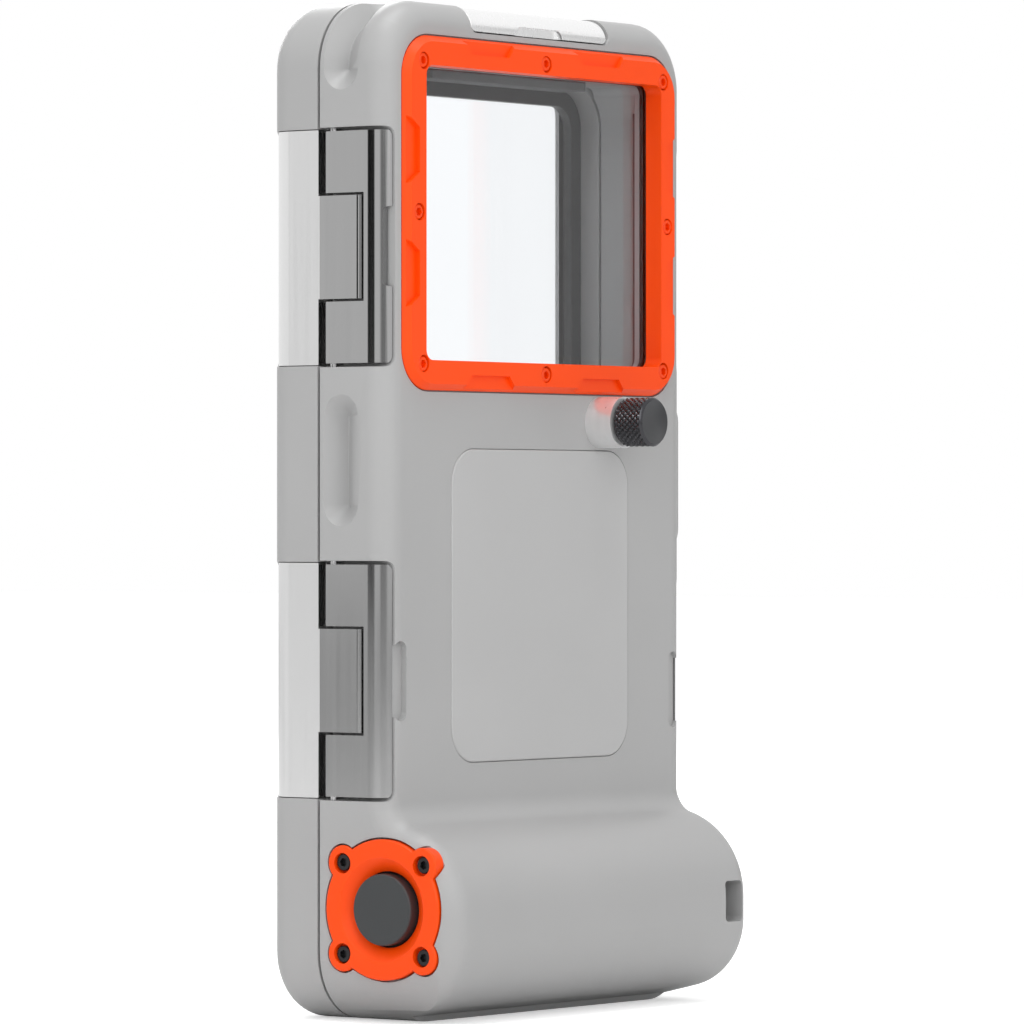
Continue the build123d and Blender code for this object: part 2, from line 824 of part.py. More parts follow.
def make_front_cover():
    """Return the front cover with its bevelled screen opening, groove and plate seats."""
    cover = shell_block(-front_depth, -half_gap, 0, front_edge_radius)
    lip = -front_depth + bevel_depth
    mouth = outline(screen_width + 2 * bevel_width, screen_height + 2 * bevel_width, bevel_radius)
    inner = outline(screen_width, screen_height, screen_radius)
    front = Plane((0, -front_depth, 0), x_dir=(1, 0, 0), z_dir=(0, -1, 0))
    back = Plane((0, lip, 0), x_dir=(1, 0, 0), z_dir=(0, -1, 0))
    cover -= loft([front * mouth, back * inner])
    cover -= xz_prism(inner, lip, 0)
    cover -= xz_prism(outline(cavity_width, cavity_height, cavity_radius), lip + lip_thickness, 0)
    cover -= seal_ring(seal_inset - seal_fit, seal_width + 2 * seal_fit, -seal_depth - half_gap, 0)
    for height in (upper_plate_z, lower_latch_z):
        cover -= on_latch_side(keeper_room(half_plate), height)
    for height in (upper_plate_z, lower_hinge_z):
        cover -= on_hinge_side(keeper_room(half_plate), height)
    return cover - on_top(keeper_room(half_end_plate)) - on_foot(keeper_room(half_end_plate))


pane_back = -front_depth + bevel_depth + lip_thickness + pane_thickness


def make_touch_window():
    """Return the clear pane behind the screen opening."""
    width = cavity_width - 2 * pane_margin
    height = cavity_height - 2 * pane_margin
    sketch = outline(width, height, cavity_radius - pane_margin)
    return xz_prism(sketch, pane_back - pane_thickness, pane_back)


def make_window_frame():
    """Return the frame that holds the pane against the cover's lip."""
    width = cavity_width - 2 * pane_margin
    height = cavity_height - 2 * pane_margin
    ring = outline(width, height, cavity_radius - pane_margin)
    ring -= outline(width - 2 * frame_width, height - 2 * frame_width, cavity_radius - frame_width)
    return xz_prism(ring, pane_back, pane_back + frame_thickness)


def make_camera_bezel():
    """Return the bright screwed bezel of the camera window, sloped round its outer edge."""
    ring = outline(bezel_width, bezel_height, bezel_radius, camera_z)
    bezel = xz_prism(ring, camera_pane_outer, bezel_top)
    top = bezel.faces().sort_by(Axis.Y)[-1]
    bezel = chamfer(top.edges(), bezel_slope_height, bezel_slope_width, reference=top)
    pane_top = camera_pane_start + camera_pane_thickness
    bezel += xz_prism(camera_outline(camera_pane_ledge, camera_pane_ledge), pane_top, camera_pane_outer)
    bezel -= xz_prism(camera_outline(0), 0, cutter)
    for place in bezel_places():
        bezel -= rod(bezel_screw_head + pin_fit, bezel_top - screw_head_depth, cutter, "Y", place)
        bezel -= rod(bezel_screw_shank + pin_fit, 0, cutter, "Y", place)
    return bezel - bezel_fields()


def bezel_field(length, width):
    """Return a field with slanted ends: long at the outer edge and shorter inwards."""
    half = length / 2
    points = [(-half, 0), (half, 0), (half - bezel_field_slant, -width), (bezel_field_slant - half, -width)]
    return make_face(Polyline(*points, close=True))


def bezel_fields():
    """Return the shallow fields along the bezel's outer edge."""
    field = bezel_field(end_field_length, end_field_width)
    sketch = Sketch()
    for x in (-end_field_offset, end_field_offset):
        sketch += Pos(x, camera_z + bezel_height / 2) * field
        sketch += Pos(x, camera_z - bezel_height / 2) * Rot(0, 0, 180) * field
    field = bezel_field(side_field_length, side_field_width)
    for z in (-side_field_offset, side_field_offset):
        sketch += Pos(bezel_width / 2, camera_z + z) * Rot(0, 0, -90) * field
        sketch += Pos(-bezel_width / 2, camera_z + z) * Rot(0, 0, 90) * field
    return xz_prism(sketch, bezel_top - bezel_field_depth, cutter)


def cap_screw(head, shank, length):
    """Return a screw on the Z axis, its head's top at Z = 0."""
    low = (Align.CENTER, Align.CENTER, Align.MAX)
    return Cylinder(head, screw_head_depth, align=low) + Cylinder(shank, length, align=low)


def make_bezel_screws():
    """Return the bezel's eight screws."""
    screw = cap_screw(bezel_screw_head, bezel_screw_shank, bezel_top - bezel_screw_end)
    turned = Rot(-90, 0, 0) * screw
    return Compound([Pos(x, bezel_top, z) * turned for x, z in bezel_places()])


def make_tripod_plate():
    """Return the dark plate in the tripod pad."""
    plate = yz_prism(stadium(tripod_plate_width, tripod_plate_length), tripod_face, tripod_plate_floor)
    plate = chamfer(plate.faces().sort_by(Axis.X)[0].edges(), pad_edge / 2)
    plate -= rod(tripod_mouth_radius, -cutter * 2, 0, "X", (tripod_y, tripod_z))
    for place in tripod_screw_places():
        plate -= rod(tripod_screw_head + pin_fit, -cutter * 2, tripod_face + screw_head_depth, "X", place)
        plate -= rod(tripod_screw_shank + pin_fit, -cutter * 2, 0, "X", place)
    return plate


def make_tripod_insert():
    """Return the threaded insert behind the tripod plate."""
    start = tripod_plate_floor
    centre = (tripod_y, tripod_z)
    insert = rod(tripod_insert_radius, start, start + tripod_insert_length, "X", centre)
    return insert - rod(tripod_thread_radius, start, start + tripod_insert_length, "X", centre)


def make_tripod_screws():
    """Return the two screws of the tripod plate."""
    length = tripod_plate_floor - tripod_face + tripod_screw_length - pin_fit
    screw = Rot(0, -90, 0) * cap_screw(tripod_screw_head, tripod_screw_shank, length)
    return Compound([Pos(tripod_face, y, z) * screw for y, z in tripod_screw_places()])


def make_shutter_bezel():
    """Return the eared bezel round the shutter button, with its funnel."""
    bezel = yz_prism(shutter_outline(0), end_face - shutter_sunk, button_top)
    bezel = chamfer(bezel.faces().sort_by(Axis.X)[-1].edges(), shutter_edge)
    centre = Pos(button_top, shutter_y, shutter_z)
    bore = button_radius + button_gap
    funnel = Cone(bore, funnel_radius, funnel_depth, align=(Align.CENTER, Align.CENTER, Align.MAX))
    bezel -= centre * Rot(0, 90, 0) * funnel
    bezel -= rod(bore, 0, cutter * 2, "X", (shutter_y, shutter_z))
    for y, z in ear_places():
        place = (shutter_y + y, shutter_z + z)
        seat = button_top - shutter_screw_sunk - screw_head_depth
        bezel -= rod(shutter_screw_head + pin_fit, seat, cutter * 2, "X", place)
        bezel -= rod(bezel_screw_shank + pin_fit, 0, cutter * 2, "X", place)
    return bezel


def make_shutter_screws():
    """Return the four screws of the shutter bezel, sunk in the ears."""
    top = button_top - shutter_screw_sunk
    length = top - end_face + shutter_screw_end - pin_fit
    screw = Rot(0, 90, 0) * cap_screw(shutter_screw_head, bezel_screw_shank, length)
    return Compound([Pos(top, shutter_y + y, shutter_z + z) * screw for y, z in ear_places()])


def make_shutter_button():
    """Return the button: its cap, the flange that keeps it in and the plunger behind."""
    centre = (shutter_y, shutter_z)
    button = rod(button_radius, flange_top - flange_thickness, button_top, "X", centre)
    button = fillet(button.faces().sort_by(Axis.X)[-1].edges(), button_edge)
    button += rod(flange_radius, flange_top - flange_thickness, flange_top, "X", centre)
    return button + rod(plunger_radius, end_face - plunger_reach, flange_top, "X", centre)


def make_shutter_membrane():
    """Return the sealing ring clamped under the shutter bezel."""
    start = end_face - shutter_sunk - membrane_thickness
    centre = (shutter_y, shutter_z)
    ring = rod(membrane_radius, start, start + membrane_thickness, "X", centre)
    return ring - rod(button_radius + button_gap, 0, cutter * 2, "X", centre)


board_front = chamber_front + inner_gap
board_back = board_front + board_thickness
switch_face = end_face - plunger_reach - button_travel - inner_gap
board_end = switch_face - switch_tip_length
cell_x = board_end - cell_from_end
cell_z = (chamber_bottom + chamber_top) / 2


def make_circuit_board():
    """Return the remote control's circuit board."""
    low = shutter_z - board_height / 2
    sketch = area(board_end - board_length, low, board_end, low + board_height)
    return xz_prism(sketch, board_front, board_back)


def make_switch():
    """Return the push switch behind the plunger."""
    half = switch_height / 2
    face = area(board_back, shutter_z - half, 2 * shutter_y - board_back, shutter_z + half)
    switch = yz_prism(face, board_end - switch_length, board_end)
    return switch + rod(switch_tip_radius, board_end, switch_face, "X", (shutter_y, shutter_z))


def make_cell_holder():
    """Return the frame that holds the coin cell on the board."""
    ring = Circle(cell_radius + cell_holder_wall) - Circle(cell_radius + pin_fit)
    return xz_prism(Pos(cell_x, cell_z) * ring, board_back, board_back + cell_holder_thickness)


def make_coin_cell():
    """Return the coin cell."""
    start = board_back + inner_gap
    cell = rod(cell_radius, start, start + cell_thickness, "Y", (cell_x, cell_z))
    return chamfer(cell.faces().sort_by(Axis.Y)[-1].edges(), cell_edge)


knob_start = rear_depth + valve_boss_length + valve_rest_gap
knob_end = knob_start + valve_knob_length


def make_valve_knob():
    """Return the knob of the air valve with its grooved stem."""
    centre = (valve_x, valve_z)
    knob = rod(valve_knob_radius, knob_start, knob_end, "Y", centre)
    knob = chamfer(knob.edges().filter_by(GeomType.CIRCLE), valve_knob_edge)
    knob += rod(valve_stem_radius, valve_stem_end, knob_start, "Y", centre)
    seal_end = valve_seal_start + valve_seal_width
    groove = rod(valve_stem_radius + overrun, valve_seal_start, seal_end, "Y", centre)
    groove -= rod(valve_stem_radius - valve_groove_depth, valve_seal_start, seal_end, "Y", centre)
    return knob - groove


def make_valve_seal():
    """Return the sealing ring in the stem's groove."""
    centre = (valve_x, valve_z)
    start = valve_seal_start + pin_fit
    end = valve_seal_start + valve_seal_width - pin_fit
    ring = rod(valve_stem_radius + valve_seal_squeeze, start, end, "Y", centre)
    return ring - rod(valve_stem_radius - valve_groove_depth + pin_fit, start, end, "Y", centre)


def make_back_cushion():
    """Return the soft sheet on the cavity's back wall, open at the camera window."""
    width = cavity_width - 2 * cushion_margin
    sketch = outline(width, cavity_height - 2 * cushion_margin, cavity_radius - cushion_margin)
    sketch -= camera_outline(cushion_margin, cushion_margin)
    sketch -= Pos(valve_x, valve_z) * Circle(valve_vent_radius * 2)
    return xz_prism(sketch, rear_cavity_depth - cushion_thickness, rear_cavity_depth)


def make_end_cushions():
    """Return the two soft blocks at the cavity's ends."""
    blocks = []
    for side in (-1, 1):
        wall = body_height / 2 + side * cavity_height / 2
        inner = wall - side * end_cushion_thickness
        half = end_cushion_length / 2
        sketch = area(-half, min(wall, inner), half, max(wall, inner))
        blocks.append(xz_prism(sketch, end_cushion_start, end_cushion_start + end_cushion_height))
    return Compound(blocks)


def make_back_panel():
    """Return the inlaid panel."""
    sketch = outline(panel_width, panel_height, panel_radius - panel_fit, panel_z)
    panel = xz_prism(sketch, rear_depth + panel_proud - panel_thickness, rear_depth + panel_proud)
    return chamfer(panel.faces().sort_by(Axis.Y)[-1].edges(), panel_proud)


def make_camera_gasket():
    """Return the gasket under the camera pane."""
    ring = camera_outline(camera_pane_ledge, camera_pane_ledge) - camera_outline(0)
    return xz_prism(ring, camera_stack_floor, camera_pane_start)


def make_camera_window():
    """Return the clear pane of the camera window."""
    sketch = camera_outline(camera_pane_ledge, camera_pane_ledge)
    return xz_prism(sketch, camera_pane_start, camera_pane_start + camera_pane_thickness)


parts["rear_shell"] = make_rear_shell()
parts["front_cover"] = make_front_cover()
parts["touch_window"] = make_touch_window()
parts["window_frame"] = make_window_frame()
parts["main_seal"] = seal_ring(seal_inset, seal_width, -seal_depth - half_gap, half_gap - seal_rest_gap)
parts["camera_gasket"] = make_camera_gasket()
parts["camera_window"] = make_camera_window()
parts["camera_bezel"] = make_camera_bezel()
parts["bezel_screws"] = make_bezel_screws()
parts["back_panel"] = make_back_panel()
parts["back_cushion"] = make_back_cushion()
parts["end_cushions"] = make_end_cushions()

for name, height in (("upper", upper_plate_z), ("lower", lower_hinge_z)):
    parts[name + "_hinge_leaf"] = on_hinge_side(hinge_leaf(), height)
    parts[name + "_hinge_plate"] = on_hinge_side(hinge_plate(), height)
    parts[name + "_hinge_pin"] = on_hinge_side(hinge_pin(), height)
    parts[name + "_hinge_sleeve"] = on_hinge_side(hinge_sleeve(), height)

side_keeper = keeper(half_plate, side_tongue_width, side_tongue_reach)
for name, height in (("upper", upper_plate_z), ("lower", lower_latch_z)):
    parts[name + "_keeper"] = on_latch_side(side_keeper, height)
    parts[name + "_lever"] = on_latch_side(lever(side_latch), height)
    parts[name + "_lever_pins"] = on_latch_side(lever_pins(side_latch), height)
parts["upper_lever"] -= on_latch_side(plate_notch(), upper_plate_z)
parts["upper_hinge_plate"] -= on_hinge_side(plate_notch(), upper_plate_z)

parts["top_keeper"] = on_top(keeper(half_end_plate, end_tongue_width, side_tongue_reach))
parts["top_lever"] = on_top(lever(top_latch) - nail_notch(top_wrap, side_notch_depth))
parts["top_lever_pins"] = on_top(lever_pins(top_latch))
parts["foot_keeper"] = on_foot(keeper(half_end_plate, end_tongue_width, foot_tongue_reach))
parts["foot_lever"] = on_foot(lever(foot_latch))
parts["foot_lever_pins"] = on_foot(lever_pins(foot_latch))

parts["tripod_plate"] = make_tripod_plate()
parts["tripod_insert"] = make_tripod_insert()
parts["tripod_screws"] = make_tripod_screws()
parts["shutter_bezel"] = make_shutter_bezel()
parts["shutter_screws"] = make_shutter_screws()
parts["shutter_button"] = make_shutter_button()
parts["shutter_membrane"] = make_shutter_membrane()
parts["push_switch"] = make_switch()
parts["circuit_board"] = make_circuit_board()
parts["cell_holder"] = make_cell_holder()
parts["coin_cell"] = make_coin_cell()
parts["valve_knob"] = make_valve_knob()
parts["valve_seal"] = make_valve_seal()

os.makedirs("parts", exist_ok=True)
to_middle = Pos(0, (front_depth - grip_depth) / 2, 0)
for node, shape in parts.items():
    export_step(to_middle * shape, "parts/" + node + ".step")
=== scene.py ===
"""Studio picture of an upright waterproof phone case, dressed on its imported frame.

All sizes are metres in the frame of the case: +X is the latch side, +Y the back with the
camera window and +Z is up.
"""

import json
import logging
from dataclasses import dataclass
from enum import Enum
from math import atan2, cos, hypot, radians, sin, tau
from typing import Any, Callable, Iterable, Iterator, Optional

import bmesh
import bpy
from mathutils import Matrix, Vector

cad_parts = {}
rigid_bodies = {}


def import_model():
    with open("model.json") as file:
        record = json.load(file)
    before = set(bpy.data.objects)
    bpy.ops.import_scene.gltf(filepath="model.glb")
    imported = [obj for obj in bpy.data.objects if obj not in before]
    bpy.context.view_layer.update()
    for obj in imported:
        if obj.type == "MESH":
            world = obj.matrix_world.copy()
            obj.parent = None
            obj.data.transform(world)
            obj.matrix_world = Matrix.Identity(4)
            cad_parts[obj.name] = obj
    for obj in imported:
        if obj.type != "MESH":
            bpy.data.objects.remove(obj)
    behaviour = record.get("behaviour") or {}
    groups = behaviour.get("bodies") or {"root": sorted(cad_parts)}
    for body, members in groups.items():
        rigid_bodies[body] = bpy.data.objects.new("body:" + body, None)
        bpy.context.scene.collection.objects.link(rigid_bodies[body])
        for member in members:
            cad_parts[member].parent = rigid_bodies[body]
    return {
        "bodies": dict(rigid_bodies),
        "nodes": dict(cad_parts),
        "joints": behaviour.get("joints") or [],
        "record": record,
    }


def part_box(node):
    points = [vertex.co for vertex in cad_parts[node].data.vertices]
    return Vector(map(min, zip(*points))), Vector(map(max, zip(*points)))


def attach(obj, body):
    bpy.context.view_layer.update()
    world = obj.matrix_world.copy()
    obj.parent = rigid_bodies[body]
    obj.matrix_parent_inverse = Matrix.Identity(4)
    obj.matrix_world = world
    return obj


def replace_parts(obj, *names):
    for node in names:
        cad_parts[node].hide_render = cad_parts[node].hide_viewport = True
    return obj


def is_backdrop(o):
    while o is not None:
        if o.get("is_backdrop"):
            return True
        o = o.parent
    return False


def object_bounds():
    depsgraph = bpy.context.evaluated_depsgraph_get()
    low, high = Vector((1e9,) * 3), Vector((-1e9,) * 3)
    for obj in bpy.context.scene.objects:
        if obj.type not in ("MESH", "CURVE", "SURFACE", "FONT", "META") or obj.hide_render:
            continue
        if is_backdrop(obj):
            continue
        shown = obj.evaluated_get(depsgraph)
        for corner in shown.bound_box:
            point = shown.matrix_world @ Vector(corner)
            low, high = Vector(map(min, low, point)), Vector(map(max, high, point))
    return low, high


log = logging.getLogger("phone_case")

MM = 0.001
SEAM_Y = -0.0096
SAME = 0.01 * MM
MERGE = 1e-6
ON_PLANE = 1e-7
FLAT_ANGLE = radians(0.2)
SHARP_ANGLE = 32.0
FLOAT_SOCKET = "NodeSocketFloat"
PEBBLE_SHARE = 0.6
GRAIN_RISE = 0.00004
MARK_RISE = 0.00003
RIPPLE_RISE = 0.0001
ROUGH_SWING = 0.03

Colour = tuple[float, float, float]
Reshape = Callable[[bmesh.types.BMesh], None]


def rgba(colour: Colour) -> tuple[float, float, float, float]:
    """A linear colour with full alpha."""
    return (*colour, 1.0)


def depth_of(point: Vector) -> float:
    """How far a point lies behind the seam, in millimetres."""
    return (point.y - SEAM_Y) / MM


def span(verts: Iterable[bmesh.types.BMVert]) -> tuple[Vector, Vector]:
    """The lowest and highest corners of the box round some vertices."""
    rows = list(zip(*(vert.co for vert in verts)))
    return Vector(map(min, rows)), Vector(map(max, rows))


def edges_of(verts: Iterable[bmesh.types.BMVert]) -> list[bmesh.types.BMEdge]:
    """The edges that meet some vertices, each once and in a steady order."""
    return list(dict.fromkeys(edge for vert in verts for edge in vert.link_edges))


# Node groups that several finishes share

@dataclass
class GroupBuilder:
    """Builds one shader node group with named inputs and outputs.

    Args:
        name: the group's name.
    """

    name: str

    def start(self, inputs: dict[str, float], outputs: Iterable[str]) -> bpy.types.NodeTree:
        """Makes the empty group.

        Args:
            inputs: input names with their defaults.
            outputs: output names.

        Returns:
            The new node tree.
        """
        tree = bpy.data.node_groups.new(self.name, "ShaderNodeTree")
        for label, value in inputs.items():
            socket = tree.interface.new_socket(label, in_out="INPUT", socket_type=FLOAT_SOCKET)
            socket.default_value = value
        for label in outputs:
            tree.interface.new_socket(label, in_out="OUTPUT", socket_type=FLOAT_SOCKET)
        self.tree = tree
        self.entry = tree.nodes.new("NodeGroupInput")
        self.exit = tree.nodes.new("NodeGroupOutput")
        return tree

    def add(self, kind: str, **values: Any) -> bpy.types.Node:
        """Adds a node and sets its properties."""
        node = self.tree.nodes.new(kind)
        for key, value in values.items():
            setattr(node, key, value)
        return node

    def join(self, source: bpy.types.NodeSocket, target: bpy.types.NodeSocket) -> None:
        """Links two sockets."""
        self.tree.links.new(source, target)

    def math(self, operation: str, first: Any, second: Any) -> bpy.types.NodeSocket:
        """Adds a math node over two sockets or numbers and returns its output."""
        node = self.add("ShaderNodeMath", operation=operation)
        for index, operand in enumerate((first, second)):
            if isinstance(operand, (int, float)):
                node.inputs[index].default_value = operand
            else:
                self.join(operand, node.inputs[index])
        return node.outputs[0]


def grain_group() -> bpy.types.NodeTree:
    """Spark-eroded mould texture: a fine pebbled height and a slow drift of tone."""
    build = GroupBuilder("mould_grain")
    tree = build.start({"Scale": 2600.0, "Drift scale": 22.0}, ("Height", "Drift"))
    place = build.add("ShaderNodeTexCoord")
    fine = build.add("ShaderNodeTexNoise")
    fine.inputs["Detail"].default_value = 3.0
    fine.inputs["Roughness"].default_value = 0.6
    slow = build.add("ShaderNodeTexNoise")
    slow.inputs["Detail"].default_value = 2.0
    cell = build.add("ShaderNodeTexVoronoi")
    build.join(place.outputs["Object"], fine.inputs["Vector"])
    build.join(place.outputs["Object"], slow.inputs["Vector"])
    build.join(place.outputs["Object"], cell.inputs["Vector"])
    build.join(build.entry.outputs["Scale"], fine.inputs["Scale"])
    build.join(build.entry.outputs["Scale"], cell.inputs["Scale"])
    build.join(build.entry.outputs["Drift scale"], slow.inputs["Scale"])
    pebbles = build.math("MULTIPLY", cell.outputs["Distance"], PEBBLE_SHARE)
    height = build.math("ADD", fine.outputs["Fac"], pebbles)
    build.join(height, build.exit.inputs["Height"])
    build.join(slow.outputs["Fac"], build.exit.inputs["Drift"])
    return tree


def streak_group() -> bpy.types.NodeTree:
    """Fine parallel brush marks that run along the case's height."""
    build = GroupBuilder("brush_streaks")
    tree = build.start({"Scale": 900.0, "Stretch": 0.02}, ("Height", "Tone"))
    place = build.add("ShaderNodeTexCoord")
    squeeze = build.add("ShaderNodeCombineXYZ")
    squeeze.inputs["X"].default_value = 1.0
    squeeze.inputs["Y"].default_value = 1.0
    build.join(build.entry.outputs["Stretch"], squeeze.inputs["Z"])
    shape = build.add("ShaderNodeVectorMath", operation="MULTIPLY")
    build.join(place.outputs["Object"], shape.inputs[0])
    build.join(squeeze.outputs["Vector"], shape.inputs[1])
    lines = build.add("ShaderNodeTexNoise")
    lines.inputs["Detail"].default_value = 4.0
    build.join(shape.outputs["Vector"], lines.inputs["Vector"])
    build.join(build.entry.outputs["Scale"], lines.inputs["Scale"])
    build.join(lines.outputs["Fac"], build.exit.inputs["Height"])
    build.join(lines.outputs["Fac"], build.exit.inputs["Tone"])
    return tree


# Finishes

@dataclass
class MaterialBench:
    """A new material with its Principled shader and short ways to wire it.

    Args:
        name: the material's name.
    """

    name: str

    def __post_init__(self) -> None:
        """Makes the material and finds its shader."""
        self.material = bpy.data.materials.new(self.name)
        self.material.use_nodes = True
        self.nodes = self.material.node_tree.nodes
        self.shader = self.nodes["Principled BSDF"]

    def add(self, kind: str, **values: Any) -> bpy.types.Node:
        """Adds a node and sets its properties."""
        node = self.nodes.new(kind)
        for key, value in values.items():
            setattr(node, key, value)
        return node

    def join(self, source: bpy.types.NodeSocket, target: bpy.types.NodeSocket) -> None:
        """Links two sockets."""
        self.material.node_tree.links.new(source, target)

    def group(self, tree: bpy.types.NodeTree, **values: float) -> bpy.types.Node:
        """Places a node group with its own input values."""
        node = self.add("ShaderNodeGroup", node_tree=tree)
        for key, value in values.items():
            node.inputs[key.replace("_", " ")].default_value = value
        return node

    def spread(self, source: bpy.types.NodeSocket, low: float, high: float) -> bpy.types.NodeSocket:
        """Maps a factor from 0.3..0.7 to a range.

        Args:
            source: the factor's socket.
            low: the value at 0.3.
            high: the value at 0.7.

        Returns:
            The mapped socket.
        """
        node = self.add("ShaderNodeMapRange")
        node.inputs["From Min"].default_value = 0.3
        node.inputs["From Max"].default_value = 0.7
        node.inputs["To Min"].default_value = low
        node.inputs["To Max"].default_value = high
        self.join(source, node.inputs["Value"])
        return node.outputs["Result"]

    def tint(self, factor: bpy.types.NodeSocket, dark: Colour, light: Colour) -> None:
        """Drives the base colour between two tones."""
        node = self.add("ShaderNodeMix", data_type="RGBA")
        node.inputs["A"].default_value = rgba(dark)
        node.inputs["B"].default_value = rgba(light)
        self.join(factor, node.inputs["Factor"])
        self.join(node.outputs["Result"], self.shader.inputs["Base Color"])

    def roughen(self, factor: bpy.types.NodeSocket, middle: float) -> None:
        """Drives the roughness a little to both sides of its middle."""
        rough = self.spread(factor, middle - ROUGH_SWING, middle + ROUGH_SWING)
        self.join(rough, self.shader.inputs["Roughness"])

    def bump(self, height: bpy.types.NodeSocket, strength: float, distance: float) -> None:
        """Feeds a height into the shader's normal."""
        node = self.add("ShaderNodeBump")
        node.inputs["Strength"].default_value = strength
        node.inputs["Distance"].default_value = distance
        self.join(height, node.inputs["Height"])
        self.join(node.outputs["Normal"], self.shader.inputs["Normal"])


def scaled(colour: Colour, factor: float) -> Colour:
    """A colour made lighter or darker, kept within 0 and 1."""
    return tuple(min(1.0, channel * factor) for channel in colour)


@dataclass(frozen=True)
class MouldedPlastic:
    """Satin moulded plastic or rubber with a spark-eroded grain.

    Args:
        name: material name.
        colour: middle linear colour.
        roughness: middle roughness.
        grain: bump strength.
        scale: grains per metre.
        drift: share by which the tone drifts.
        specular: specular level.
    """

    name: str
    colour: Colour
    roughness: float = 0.42
    grain: float = 0.12
    scale: float = 2600.0
    drift: float = 0.03
    specular: float = 0.5

    def build(self, groups: dict[str, bpy.types.NodeTree]) -> bpy.types.Material:
        """Makes the material."""
        bench = MaterialBench(self.name)
        grain = bench.group(groups["grain"], Scale=self.scale)
        bench.tint(bench.spread(grain.outputs["Drift"], 0.0, 1.0),
                   scaled(self.colour, 1 - self.drift), scaled(self.colour, 1 + self.drift))
        bench.roughen(grain.outputs["Drift"], self.roughness)
        bench.bump(grain.outputs["Height"], self.grain, GRAIN_RISE)
        bench.shader.inputs["Specular IOR Level"].default_value = self.specular
        return bench.material


@dataclass(frozen=True)
class BrushedMetal:
    """Satin metal with fine marks along the height of the case.

    Args:
        name: material name.
        colour: middle linear colour.
        roughness: middle roughness.
        marks: bump strength.
        metallic: share of metal.
        stretch: how long the marks are: less is longer.
        tone: share by which the colour varies from mark to mark.
    """

    name: str
    colour: Colour
    roughness: float = 0.34
    marks: float = 0.06
    metallic: float = 1.0
    stretch: float = 0.02
    tone: float = 0.06

    def build(self, groups: dict[str, bpy.types.NodeTree]) -> bpy.types.Material:
        """Makes the material."""
        bench = MaterialBench(self.name)
        streaks = bench.group(groups["streaks"], Stretch=self.stretch)
        bench.tint(streaks.outputs["Tone"], scaled(self.colour, 1 - self.tone),
                   scaled(self.colour, 1 + self.tone))
        bench.roughen(streaks.outputs["Tone"], self.roughness)
        bench.bump(streaks.outputs["Height"], self.marks, MARK_RISE)
        bench.shader.inputs["Metallic"].default_value = self.metallic
        return bench.material


@dataclass(frozen=True)
class ClearPane:
    """Clear moulded pane with faint ripples.

    Args:
        name: material name.
        colour: linear colour.
        roughness: roughness.
        ripple: bump strength.
        ior: index of refraction.
    """

    name: str
    colour: Colour
    roughness: float = 0.02
    ripple: float = 0.02
    ior: float = 1.3

    def build(self, groups: dict[str, bpy.types.NodeTree]) -> bpy.types.Material:
        """Makes the material."""
        bench = MaterialBench(self.name)
        grain = bench.group(groups["grain"], Scale=60.0, Drift_scale=30.0)
        bench.tint(bench.spread(grain.outputs["Drift"], 0.0, 1.0), scaled(self.colour, 0.99), self.colour)
        bench.bump(grain.outputs["Height"], self.ripple, RIPPLE_RISE)
        bench.shader.inputs["Roughness"].default_value = self.roughness
        bench.shader.inputs["Transmission Weight"].default_value = 1.0
        bench.shader.inputs["IOR"].default_value = self.ior
        return bench.material


@dataclass(frozen=True)
class LitFloor:
    """Pale floor of a light table, with a faint glow of its own that only the camera sees.

    Args:
        name: material name.
        colour: the floor's linear colour.
        glow: strength of the glow.
    """

    name: str
    colour: Colour
    glow: float

    def build(self, groups: dict[str, bpy.types.NodeTree]) -> bpy.types.Material:
        """Makes the material."""
        bench = MaterialBench(self.name)
        grain = bench.group(groups["grain"], Scale=300.0)
        bench.tint(bench.spread(grain.outputs["Drift"], 0.0, 1.0), scaled(self.colour, 0.995), self.colour)
        path = bench.add("ShaderNodeLightPath")
        glow = bench.add("ShaderNodeMath", operation="MULTIPLY")
        glow.inputs[1].default_value = self.glow
        bench.join(path.outputs["Is Camera Ray"], glow.inputs[0])
        bench.join(glow.outputs["Value"], bench.shader.inputs["Emission Strength"])
        bench.shader.inputs["Emission Color"].default_value = rgba((1.0, 1.0, 1.0))
        bench.shader.inputs["Roughness"].default_value = 0.8
        bench.shader.inputs["Specular IOR Level"].default_value = 0.1
        return bench.material


